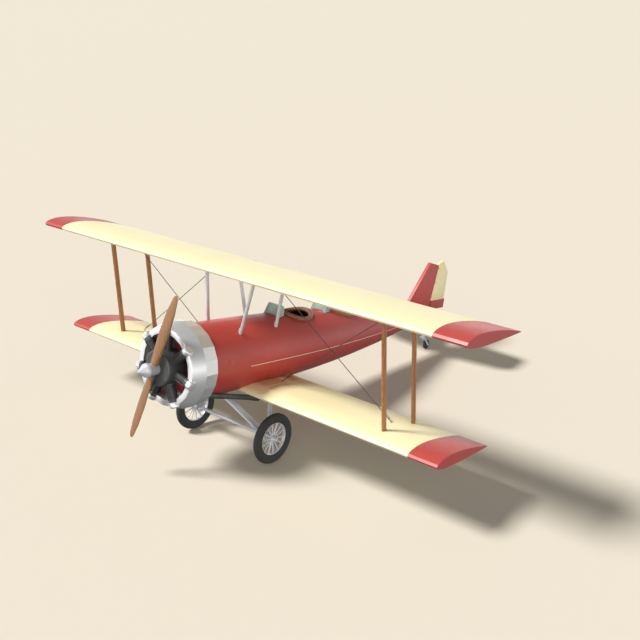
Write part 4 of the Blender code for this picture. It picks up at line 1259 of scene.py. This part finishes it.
@dataclass
class Wings:
    """Both wings with their tips, ailerons and rib tapes."""

    shop: Workshop
    upper: tuple[float, float, float] = (-0.806, 1.389, 1.39)
    lower: tuple[float, float, float] = (-0.401, -0.498, 1.34)
    rib_pitch: float = 0.34
    tape_width: float = 0.030
    tape_height: float = 0.0008

    def build(self) -> None:
        """Every panel and its tapes."""
        shop = self.shop
        for node, paint, slot in (
                ("upper_wing", "doped_cream", "cream"), ("upper_tip_port", "doped_red", "red"),
                ("upper_tip_starboard", "doped_red", "red"),
                ("lower_wing_port", "doped_cream", "cream"),
                ("lower_wing_starboard", "doped_cream", "cream"),
                ("lower_tip_port", "doped_red", "red"),
                ("lower_tip_starboard", "doped_red", "red")):
            shop.refit(node, paint, "airframe", slot, 0.0, 32.0)
        for side in ("port", "starboard"):
            shop.refit(f"aileron_{side}", "doped_cream", f"aileron_{side}", "cream", 0.0, 32.0)
        self._dress("upper_wing", ("upper_wing",), self.upper, -4.05, 4.05, "doped_cream",
                    "cream")
        for side, s in (("port", 1), ("starboard", -1)):
            self._dress(f"upper_tip_{side}", (f"upper_tip_{side}",), self.upper, s * 4.10,
                        s * 4.56, "doped_red", "red")
            self._dress(f"lower_wing_{side}", (f"lower_wing_{side}",), self.lower, s * 0.72,
                        s * 3.66, "doped_cream", "cream")
            self._dress(f"lower_tip_{side}", (f"lower_tip_{side}",), self.lower, s * 3.71,
                        s * 4.14, "doped_red", "red")
            self._dress_aileron(side, s)

    def _stations(self, x0: float, x1: float) -> list[float]:
        """Rib stations between two spans."""
        low, high = min(x0, x1), max(x0, x1)
        count = max(2, round((high - low) / self.rib_pitch) + 1)
        return [low + (high - low) * i / (count - 1) for i in range(count)]

    def _dress(self, label: str, nodes: tuple[str, ...], wing: tuple[float, float, float],
               x0: float, x1: float, paint: str, slot: str) -> None:
        """Lays rib tapes over both sides of a panel.

        Args:
            label: what the piece is named after.
            nodes: CAD nodes of the panel.
            wing: leading edge, height and chord.
            x0: first rib.
            x1: last rib.
            paint: finish name.
            slot: passed on to the tapes, which do not use it.
        """
        leading, height, chord = wing
        skin = self.shop.skin(*nodes)
        lines = []
        for x in self._stations(x0, x1):
            for way in (1, -1):
                run: list[Vector] = []
                for k in range(41):
                    share = (1 - math.cos(math.pi * k / 40)) / 2
                    y = leading + chord * (0.006 + 0.985 * share)
                    found = skin.hit((x, y, height + way * 0.5), (0, 0, -way))
                    if found and abs(found[0].z - height) < 0.16:
                        run.append(found[0] + found[1] * 0.0002)
                    elif run:
                        lines.append(run)
                        run = []
                lines.append(run)
        self.shop.tapes(f"{label}_rib_tapes", lines, self.tape_width, self.tape_height, paint,
                        "airframe", slot)

    def _dress_aileron(self, side: str, s: int) -> None:
        """Rib tapes over an aileron."""
        leading, height, chord = self.lower
        skin = self.shop.skin(f"aileron_{side}")
        lines = []
        for x in self._stations(s * 1.24, s * 2.90):
            for way in (1, -1):
                starts = [(x, leading + chord * (0.79 + 0.2 * k / 12), height + way * 0.5)
                          for k in range(13)]
                lines.append(skin.line(starts, (0, 0, -way), 0.0002))
        self.shop.tapes(f"aileron_{side}_tapes", lines, self.tape_width, self.tape_height,
                        "doped_cream", f"aileron_{side}", "cream")


@dataclass
class Struts:
    """Interplane and cabane struts with metal ends, and the main rigging wires."""

    shop: Workshop

    def build(self) -> None:
        """Dresses every strut and wire."""
        shop = self.shop
        for s, side in ((1, "port"), (-1, "starboard")):
            for end in ("front", "rear"):
                shop.refit(f"strut_{side}_{end}", "strut_varnish", "airframe", "strut_wood",
                           0.0, 50.0)
                shop.refit(f"cabane_{side}_{end}", "silver_tube", "airframe", "steel_grey",
                           0.0, 50.0)
            for kind in ("flying", "landing"):
                shop.refit(f"wire_{side}_{kind}", "wire_steel", "airframe", "wire_steel", 0.0,
                           60.0)
            self._ends(s, side)
            self._turnbuckles(s, side)

    def _ends(self, s: int, side: str) -> None:
        """Sockets at both ends of every strut."""
        members = {
            "strut": (((3.04, -0.09, -0.452), (3.04, -0.45, 1.345), 0.102, 0.056),
                      ((3.04, 0.65, -0.43), (3.04, 0.29, 1.40), 0.102, 0.056)),
            "cabane": (((0.37, -0.50, 0.47), (0.555, -0.45, 1.345), 0.079, 0.044),
                       ((0.34, 0.345, 0.47), (0.555, 0.25, 1.40), 0.079, 0.044))}
        paints = {"strut": ("strut_varnish", "strut_wood"),
                  "cabane": ("silver_tube", "steel_grey")}
        for kind, rows in members.items():
            parts = []
            for foot, head, wide, thick in rows:
                a = Vector((s * foot[0], *foot[1:]))
                b = Vector((s * head[0], *head[1:]))
                along = (b - a).normalized()
                for at, way in ((a, 1), (b, -1)):
                    start = at + along * (0.012 * way)
                    parts.append(rod("socket", tuple(start), tuple(start + along * 0.06 * way),
                                     wide, thick))
            paint, slot = paints[kind]
            finish_piece(merge(f"{kind}_ends_{side}", *parts), self.shop.paint[paint],
                         "airframe", (), 50)

    def _turnbuckles(self, s: int, side: str) -> None:
        """A barrel near the lower end of each wire."""
        parts = []
        for low, high in (((0.555, -0.14, 1.36), (3.00, 0.29, -0.44)),
                          ((3.00, -0.07, 1.37), (0.54, 0.31, -0.40))):
            a = Vector((s * high[0], *high[1:]))
            b = Vector((s * low[0], *low[1:]))
            along = (b - a).normalized()
            barrel = lathe("barrel", [(0.0, 0.0), (0.0, 0.007), (0.02, 0.0085),
                                      (0.03, 0.012), (0.11, 0.012), (0.12, 0.0085),
                                      (0.14, 0.007), (0.14, 0.0)], 14, "Z")
            turn = along.to_track_quat("Z", "Y").to_matrix().to_4x4()
            parts.append(moved(barrel, Matrix.Translation(a + along * 0.16) @ turn))
        finish_piece(merge(f"turnbuckles_{side}", *parts), self.shop.paint["bright_steel"],
                     "airframe", (), 50)


# Windscreen corners: foot x, dy and lift over the skin, head x, dy and rise
SCREEN_CORNERS = ((0.175, 0.125, 0.027, 0.170, 0.122, 0.151),
                  (0.170, 0.0, 0.002, 0.125, 0.065, 0.170))


@dataclass
class Cockpit:
    """One seat's rim, screen, cushions, belts, panel and stick."""

    shop: Workshop
    label: str
    y: float
    half_x: float
    half_y: float
    tube_radius: float = 0.042
    screen_ahead: float = 0.565
    rim_points: int = 64
    seat_half: float = 0.20

    def build(self) -> None:
        """Every piece of the cockpit."""
        self._rim()
        self._lacing()
        self._screen()
        self._seat()
        self._panel()
        self._stick()

    def _rim_point(self, turn: float) -> Vector:
        """A point on the middle of the padded rim."""
        x = (self.half_x + 0.008) * math.cos(turn)
        y = self.y + (self.half_y + 0.008) * math.sin(turn)
        return Vector((x, y, skin_top(x, y) + 0.008))

    def _rim(self) -> None:
        """The padded leather coaming."""
        path = [self._rim_point(2 * math.pi * i / self.rim_points)
                for i in range(self.rim_points)]
        ring = tube(f"{self.label}_coaming_leather", path, self.tube_radius - 0.004, 16, True)
        ring = stuff(ring, 0.006, 4.0, 0.004)
        finish_piece(ring, self.shop.paint["rim_leather"], "airframe",
                     (f"{self.label}_coaming",), 80)

    def _lacing(self) -> None:
        """Thread over the rim's inner and outer seams."""
        lines = []
        count = 44
        for i in range(count):
            turn = 2 * math.pi * (i + 0.5) / count
            at = self._rim_point(turn)
            out = (at - Vector((0, self.y, at.z))).normalized()
            line = []
            for k in range(9):
                a = math.radians(20 + 140 * k / 8)
                line.append(at + (out * math.cos(a) + Vector((0, 0, 1)) * math.sin(a))
                            * (self.tube_radius + 0.0006))
            lines.append(line)
        self.shop.tapes(f"{self.label}_coaming_lacing", lines, 0.003, 0.003, "webbing",
                        "airframe", "leather")

    def _screen(self) -> None:
        """Glass panes with a thin metal frame."""
        self.shop.refit(f"{self.label}_windscreen", "screen_glass", "airframe", "glass", 0.0,
                        20.0)
        base = self.y - self.screen_ahead
        top = fuselage_at(base)[1]
        sill, head = [], []
        for x, dy, lift, high_x, high_dy, rise in SCREEN_CORNERS:
            sill.append(Vector((x, base + dy, skin_top(x, base + dy) + lift)))
            head.append(Vector((high_x, base + high_dy, top + rise)))
        low = [Vector((-p.x, p.y, p.z)) for p in sill] + sill[::-1]
        high = [Vector((-p.x, p.y, p.z)) for p in head] + head[::-1]
        bars = [tube("edge", high, 0.0042, 10), tube("edge", low, 0.0048, 10)]
        for a, b in zip(low, high):
            bars.append(rod("edge", tuple(a), tuple(b), 0.0084, count=10))
        finish_piece(merge(f"{self.label}_screen_frame", *bars),
                     self.shop.paint["silver_tube"], "airframe", (), 50)

    def _seat(self) -> None:
        """Seat pan with padded cushions and belts."""
        shop = self.shop
        shop.refit(f"{self.label}_seat", "silver_tube", "airframe", "steel_grey", 0.004, 30.0)
        pan = block("pad", (-0.178, self.y - 0.125, -0.124), (0.178, self.y + 0.175, -0.082))
        pan = stuff(bevel(pan, 0.016, 3), 0.006, 4.0, 0.012)
        finish_piece(channels(pan, 0.062, 0.005), shop.paint["seat_leather"], "airframe",
                     (), 80)
        pan.name = f"{self.label}_seat_cushion"
        back = block("pad", (-0.165, self.y + 0.152, -0.040), (0.165, self.y + 0.186, 0.205))
        back = stuff(bevel(back, 0.014, 3), 0.006, 4.0, 0.010)
        finish_piece(channels(back, 0.062, 0.004), shop.paint["seat_leather"], "airframe",
                     (), 80)
        back.name = f"{self.label}_back_cushion"
        self._belts()

    def _belts(self) -> None:
        """Two lap straps laid over the seat cushion, with a buckle."""
        lines = []
        for s in (-1, 1):
            lines.append([Vector((s * (0.190 - 0.165 * k / 10),
                                  self.y + 0.06 - 0.05 * k / 10,
                                  -0.066 + 0.012 * math.sin(math.pi * k / 10)))
                          for k in range(11)])
        self.shop.tapes(f"{self.label}_lap_straps", lines, 0.045, 0.003, "webbing",
                        "airframe", "leather")
        buckle = block("buckle", (-0.030, self.y - 0.022, -0.070),
                       (0.030, self.y + 0.036, -0.058))
        finish_piece(bevel(buckle, 0.004), self.shop.paint["bright_steel"], "airframe")
        buckle.name = f"{self.label}_buckle"

    def _panel(self) -> None:
        """The instrument panel with bezels, faces and pointers."""
        shop = self.shop
        shop.refit(f"{self.label}_panel", "panel_black", "airframe", "panel_black", 0.002,
                   30.0)
        rear = self._panel_rear()
        bezels, faces, hands = [], [], []
        ticks: list[tuple[Vector, Vector]] = []
        for x, z, r in ((-0.19, 0.27, 0.034), (-0.10, 0.30, 0.040), (0.0, 0.31, 0.046),
                        (0.10, 0.30, 0.040), (0.19, 0.27, 0.034), (-0.05, 0.20, 0.030),
                        (0.05, 0.20, 0.030)):
            ring = lathe("bezel", [(0.0, r - 0.005), (0.009, r - 0.005), (0.011, r - 0.002),
                                   (0.009, r + 0.003), (0.0, r + 0.003)], 28)
            bezels.append(moved(ring, Matrix.Translation((x, rear, z))))
            face = lathe("face", [(0.0, 0.0), (0.0, r - 0.005), (0.003, r - 0.005),
                                  (0.003, 0.0)], 28)
            faces.append(moved(face, Matrix.Translation((x, rear, z))))
            angle = math.radians(35 + 260 * (x + 0.2))
            tip = (x + 0.7 * r * math.cos(angle), rear + 0.005, z + 0.7 * r * math.sin(angle))
            hands.append(rod("hand", (x, rear + 0.005, z), tip, 0.0022, count=6))
            for k in range(12):
                t = 2 * math.pi * k / 12
                ticks.append((Vector((x + 0.82 * (r - 0.005) * math.cos(t), rear + 0.003,
                                      z + 0.82 * (r - 0.005) * math.sin(t))),
                              Vector((0, 1, 0))))
        finish_piece(merge(f"{self.label}_dial_bezels", *bezels), shop.paint["bright_steel"],
                     "airframe")
        finish_piece(merge(f"{self.label}_dial_faces", *faces), shop.paint["dial_white"],
                     "airframe")
        finish_piece(merge(f"{self.label}_dial_hands", *hands), shop.paint["panel_black"],
                     "airframe")
        shop.rivets(f"{self.label}_dial_ticks", ticks, 0.0016, 0.0008, "panel_black",
                    "airframe", "panel_black", 6)

    def _panel_rear(self) -> float:
        """Datum station of the panel's rear face."""
        back = STANCE.inverted()
        panel = self.shop.frame["nodes"][f"{self.label}_panel"].data
        return max((back @ v.co).y for v in panel.vertices)

    def _stick(self) -> None:
        """Control stick with its grip and boot."""
        y = self.y - 0.22
        path = [(0, y - 0.03, -0.355), (0, y - 0.02, -0.20), (0, y, -0.02)]
        stem = tube("stem", path, 0.010, 12)
        boot = lathe("boot", [(-0.3575, 0.0), (-0.3575, 0.050), (-0.345, 0.046),
                              (-0.325, 0.022), (-0.318, 0.0)], 20, "Z")
        moved(boot, Matrix.Translation((0, y - 0.03, 0)))
        grip = lathe("grip", [(-0.03, 0.0), (-0.03, 0.015), (0.02, 0.019), (0.07, 0.017),
                              (0.085, 0.010), (0.088, 0.0)], 20, "Z")
        moved(grip, Matrix.Translation((0, y, -0.02)))
        finish_piece(merge(f"{self.label}_stick", stem, boot, grip),
                     self.shop.paint["panel_black"], "airframe", (), 50)


def stuff(obj: bpy.types.Object, voxel: float, pressure: float,
          most: float) -> bpy.types.Object:
    """Swells a closed mesh as a stuffed pad by a short cloth run.

    Args:
        obj: the slack shape.
        voxel: remesh size.
        pressure: air pressure inside.
        most: how far a point may move.

    Returns:
        The same object with the swollen mesh.
    """
    step = obj.modifiers.new("even", "REMESH")
    step.mode = "VOXEL"
    step.voxel_size = voxel
    bake(obj)
    before = [v.co.copy() for v in obj.data.vertices]
    cloth = obj.modifiers.new("swell", "CLOTH")
    settings = cloth.settings
    settings.quality = 4
    settings.mass = 0.2
    settings.use_pressure = True
    settings.uniform_pressure_force = pressure
    settings.effector_weights.gravity = 0.0
    scene = bpy.context.scene
    for number in range(1, 21):
        scene.frame_set(number)
    bake(obj)
    scene.frame_set(1)
    for vertex, rest in zip(obj.data.vertices, before):
        shift = vertex.co - rest
        if shift.length > most:
            vertex.co = rest + shift * (most / shift.length)
    return subdivide(obj)


def channels(obj: bpy.types.Object, pitch: float, deep: float) -> bpy.types.Object:
    """Presses sewn channels into a pad, this far apart along X."""
    mesh = obj.data
    middle = sum((v.co for v in mesh.vertices), Vector()) / len(mesh.vertices)
    for vertex in mesh.vertices:
        near = abs((vertex.co.x / pitch + 0.5) % 1.0 - 0.5) * pitch
        pull = deep * math.exp(-((near / 0.006) ** 2))
        away = vertex.co - middle
        away.x = 0.0
        if away.length > 1e-6:
            vertex.co -= away.normalized() * pull
    return obj


@dataclass
class Undercarriage:
    """Main legs, axle and two spoked wheels."""

    shop: Workshop
    x: float = 0.928
    y: float = -0.1275
    height: float = 0.422
    tyre_radius: float = 0.422
    rim_radius: float = 0.265
    tyre_width: float = 0.105
    hub_radius: float = 0.057
    hub_half: float = 0.080
    spokes: int = 14

    def build(self) -> None:
        """Legs, axle, pipe and wheels."""
        shop = self.shop
        for side in ("port", "starboard"):
            for node in (f"gear_leg_{side}_front", f"gear_leg_{side}_rear",
                         f"gear_brace_{side}"):
                shop.refit(node, "silver_tube", "airframe", "steel_grey", 0.0, 50.0)
        shop.refit("axle", "silver_tube", "airframe", "steel_grey", 0.002, 40.0)
        shop.refit("exhaust_pipe", "engine_enamel", "airframe", "engine_grey", 0.0, 50.0)
        for s, side in ((1, "port"), (-1, "starboard")):
            self._wheel(s, side)

    def _place(self, s: int) -> Matrix:
        """From a wheel built round X at the origin to its axle."""
        z = datum_height(self.y, self.height)
        return STANCE @ Matrix.Translation((s * self.x, self.y, z)) @ Matrix.Rotation(
            NOSE_UP, 4, "X")

    def _wheel(self, s: int, side: str) -> None:
        """Tyre, rim, hub and spokes of one wheel."""
        shop, body = self.shop, f"wheel_{side}"
        place = self._place(s)
        half = self.tyre_width / 2
        tyre = lathe(f"tyre_{side}_dressed", self._tyre_profile(half), 72, "X")
        finish_piece(tyre, shop.paint["tyre_rubber"], body, (f"tyre_{side}",),
                     60, place)
        rim = lathe("rim", [(-half * 0.55, self.rim_radius + 0.006),
                            (-half * 0.55, self.rim_radius - 0.001),
                            (-half * 0.35, self.rim_radius - 0.006),
                            (half * 0.35, self.rim_radius - 0.006),
                            (half * 0.55, self.rim_radius - 0.001),
                            (half * 0.55, self.rim_radius + 0.006)], 72, "X")
        wheel = merge(f"wheel_{side}_dressed", rim, self._hub(), self._spokes(side))
        finish_piece(wheel, shop.paint["silver_tube"], body,
                     (f"wheel_{side}",), 50, place)

    def _tyre_profile(self, half: float) -> list[tuple[float, float]]:
        """The tyre's closed section round the rim."""
        points = []
        middle = (self.rim_radius + self.tyre_radius) / 2
        tall = (self.tyre_radius - self.rim_radius) / 2
        for i in range(28):
            t = 2 * math.pi * i / 28
            power = 0.82
            c, v = math.cos(t), math.sin(t)
            points.append((half * math.copysign(abs(c) ** power, c),
                           middle + tall * math.copysign(abs(v) ** power, v)))
        return points

    def _hub(self) -> bpy.types.Object:
        """The hub barrel, hollow for the axle, with flanges and a cap ring."""
        h, r = self.hub_half, self.hub_radius
        bore = 0.0315
        return lathe("hub", [(-h, bore), (-h, r * 0.62), (-h + 0.012, r * 0.72),
                             (-h * 0.55, r * 0.80), (-h * 0.40, r), (h * 0.40, r),
                             (h * 0.55, r * 0.80), (h - 0.012, r * 0.72), (h, r * 0.62),
                             (h, bore)], 40, "X")

    def _spokes(self, side: str) -> bpy.types.Object:
        """Straight spokes from the hub to the rim."""
        places = []
        for i in range(self.spokes):
            t = 2 * math.pi * (i + 0.5) / self.spokes
            out = Vector((0, math.cos(t), math.sin(t)))
            places.append((out * (self.hub_radius - 0.006), out))
        return self.shop.heads.on(f"spokes_{side}", places, 0.014,
                                  self.rim_radius - self.hub_radius, 12,
                                  self.shop.paint["silver_tube"])


@dataclass
class TailUnit:
    """Fin, rudder, tailplane and elevators with tapes."""

    shop: Workshop
    hinge_foot: tuple[float, float] = (5.381, 0.095)
    hinge_top: tuple[float, float] = (5.592, 1.060)
    tape_start: float = 0.025

    def build(self) -> None:
        """Dresses each surface."""
        shop = self.shop
        shop.refit("fin", "doped_red", "airframe", "red", 0.002, 30.0)
        shop.refit("rudder", "doped_cream", "rudder", "cream", 0.002, 30.0)
        shop.refit("rudder_heel", "doped_red", "rudder", "red", 0.002, 30.0)
        for side in ("port", "starboard"):
            shop.refit(f"stabiliser_{side}", "doped_red", "airframe", "red", 0.0015, 30.0)
            shop.refit(f"elevator_{side}", "doped_cream", "elevators", "cream", 0.0015, 30.0)
        self._rudder_tapes()
        self._tail_tapes()

    def _hinge_y(self, z: float) -> float:
        """Station of the rudder's leaning hinge line at a height."""
        (y0, z0), (y1, z1) = self.hinge_foot, self.hinge_top
        return y0 + (z - z0) * (y1 - y0) / (z1 - z0)

    def _rudder_tapes(self) -> None:
        """Rib tapes on both sides of the rudder, from behind its hinge line."""
        skin = self.shop.skin("rudder")
        lines = []
        for z in (0.42, 0.60, 0.78, 0.95):
            front = self._hinge_y(z) + self.tape_start
            for s in (-1, 1):
                starts = [(s * 0.3, front + 0.02 * k, z) for k in range(20)]
                lines.append(skin.line(starts, (-s, 0, 0), 0.0003))
        self.shop.tapes("rudder_tapes", lines, 0.0008, 0.022, "doped_cream", "rudder",
                        "cream")

    def _tail_tapes(self) -> None:
        """Rib tapes on the tailplane and elevators."""
        for s, side in ((1, "port"), (-1, "starboard")):
            for node, body, y0, y1, paint, slot in (
                    (f"stabiliser_{side}", "airframe", 4.74, 5.30, "doped_red", "red"),
                    (f"elevator_{side}", "elevators", 5.33, 5.80, "doped_cream", "cream")):
                skin = self.shop.skin(node)
                lines = []
                for x in (0.34, 0.62, 0.90, 1.18, 1.46):
                    for way in (1, -1):
                        starts = [(s * x, y0 + (y1 - y0) * k / 14, 0.035 + way * 0.3)
                                  for k in range(15)]
                        lines.append(skin.line(starts, (0, 0, -way), 0.0003))
                self.shop.tapes(f"{node}_tapes", lines, 0.022, 0.0008, paint, body, slot)


@dataclass
class TailWheel:
    """The castering tail wheel on its post."""

    shop: Workshop

    def build(self) -> None:
        """Post, fork and wheel."""
        shop = self.shop
        shop.refit("tail_post", "silver_tube", "airframe", "steel_grey", 0.002, 40.0)
        shop.refit("tail_fork", "silver_tube", "tail_caster", "steel_grey", 0.002, 40.0)
        shop.refit("tail_wheel", "tyre_rubber", "tail_roller", "tyre_black", 0.004, 30.0)


@dataclass
class Studio:
    """Floor, soft key light, fill and the photograph's camera."""

    floor_size: float = 6000.0
    sun_way: Point = (0.52, 0.60, -1.0)
    fill_way: Point = (-0.65, 0.74, -0.20)

    def build(self) -> None:
        """Everything that isn't the aircraft."""
        self._floor()
        self._lights()
        self._camera()

    def _floor(self) -> None:
        """A wide pale floor."""
        half = self.floor_size / 2
        mesh = bpy.data.meshes.new("floor")
        mesh.from_pydata([(-half, -half, 0), (half, -half, 0), (half, half, 0),
                          (-half, half, 0)], [], [(0, 1, 2, 3)])
        floor = bpy.data.objects.new("floor", mesh)
        bpy.context.scene.collection.objects.link(floor)
        pale = bpy.data.materials.new("floor_paper")
        pale.use_nodes = True
        shader = pale.node_tree.nodes["Principled BSDF"]
        shader.inputs["Base Color"].default_value = (0.715, 0.651, 0.542, 1.0)
        shader.inputs["Roughness"].default_value = 0.9
        shader.inputs["Specular IOR Level"].default_value = 0.1
        mesh.materials.append(pale)
        floor.visible_diffuse = False
        floor.visible_glossy = False

    def _lights(self) -> None:
        """A soft sun from the far side, a weak low fill from the camera, and a surround."""
        self._sun("key", self.sun_way, 3.7, 15.0)
        self._sun("fill", self.fill_way, 0.7, 70.0)
        bpy.context.scene.world = self._surround()

    def _surround(self) -> bpy.types.World:
        """A pale studio surround that is brightest at eye level."""
        world = bpy.data.worlds.new("surround")
        world.use_nodes = True
        sheet = Sheet(world.node_tree)
        where = sheet.add("ShaderNodeTexCoord")
        split = sheet.add("ShaderNodeSeparateXYZ")
        sheet.wire(where.outputs["Generated"], split.inputs[0])
        level = sheet.math("SUBTRACT", 1.0, sheet.math("ABSOLUTE", split.outputs["Z"]))
        glow = sheet.math("MULTIPLY", sheet.math("POWER", level, 3.0), 1.7)
        back = world.node_tree.nodes["Background"]
        back.inputs["Color"].default_value = (1.0, 1.0, 1.0, 1.0)
        sheet.wire(sheet.math("ADD", glow, 0.10), back.inputs["Strength"])
        return world

    def _sun(self, name: str, way: Point, energy: float, width: float) -> None:
        """One sun lamp.

        Args:
            name: its name.
            way: the direction its light travels.
            energy: its strength.
            width: its angular size in degrees.
        """
        data = bpy.data.lights.new(name, "SUN")
        data.energy = energy
        data.angle = math.radians(width)
        data.color = (1.0, 0.995, 0.98)
        lamp = bpy.data.objects.new(name, data)
        lamp.rotation_euler = Vector(way).to_track_quat("-Z", "Y").to_euler()
        bpy.context.scene.collection.objects.link(lamp)

    def _camera(self) -> None:
        """The photograph's point of view."""
        data = bpy.data.cameras.new("view")
        data.lens = 51.446
        data.sensor_width = 36.0
        data.clip_end = 10000.0
        camera = bpy.data.objects.new("view", data)
        camera.location = (10.1365, -11.6087, 7.3611)
        camera.rotation_euler = (math.radians(69.52), 0.0, math.radians(41.12))
        bpy.context.scene.collection.objects.link(camera)
        bpy.context.scene.camera = camera


def clear_scene() -> None:
    """Removes the startup objects."""
    for obj in list(bpy.data.objects):
        bpy.data.objects.remove(obj, do_unlink=True)


def main() -> None:
    """Builds the dressed aircraft round its frame."""
    logging.basicConfig(level=logging.INFO, format="%(name)s %(message)s")
    clear_scene()
    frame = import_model()
    bpy.context.scene.view_settings.view_transform = "Standard"
    shop = Workshop(frame)
    Fuselage(shop).build()
    Cowl(shop).build()
    RadialEngine(shop).build()
    Propeller(shop).build()
    Wings(shop).build()
    Struts(shop).build()
    shop.refit("cockpit_floor", "floor_boards", "airframe", "floor_wood", 0.002, 30.0)
    Cockpit(shop, "front", 1.14, 0.292, 0.302).build()
    Cockpit(shop, "rear", 2.36, 0.282, 0.302).build()
    Undercarriage(shop).build()
    TailUnit(shop).build()
    TailWheel(shop).build()
    Studio().build()


if __name__ == "__main__":
    main()
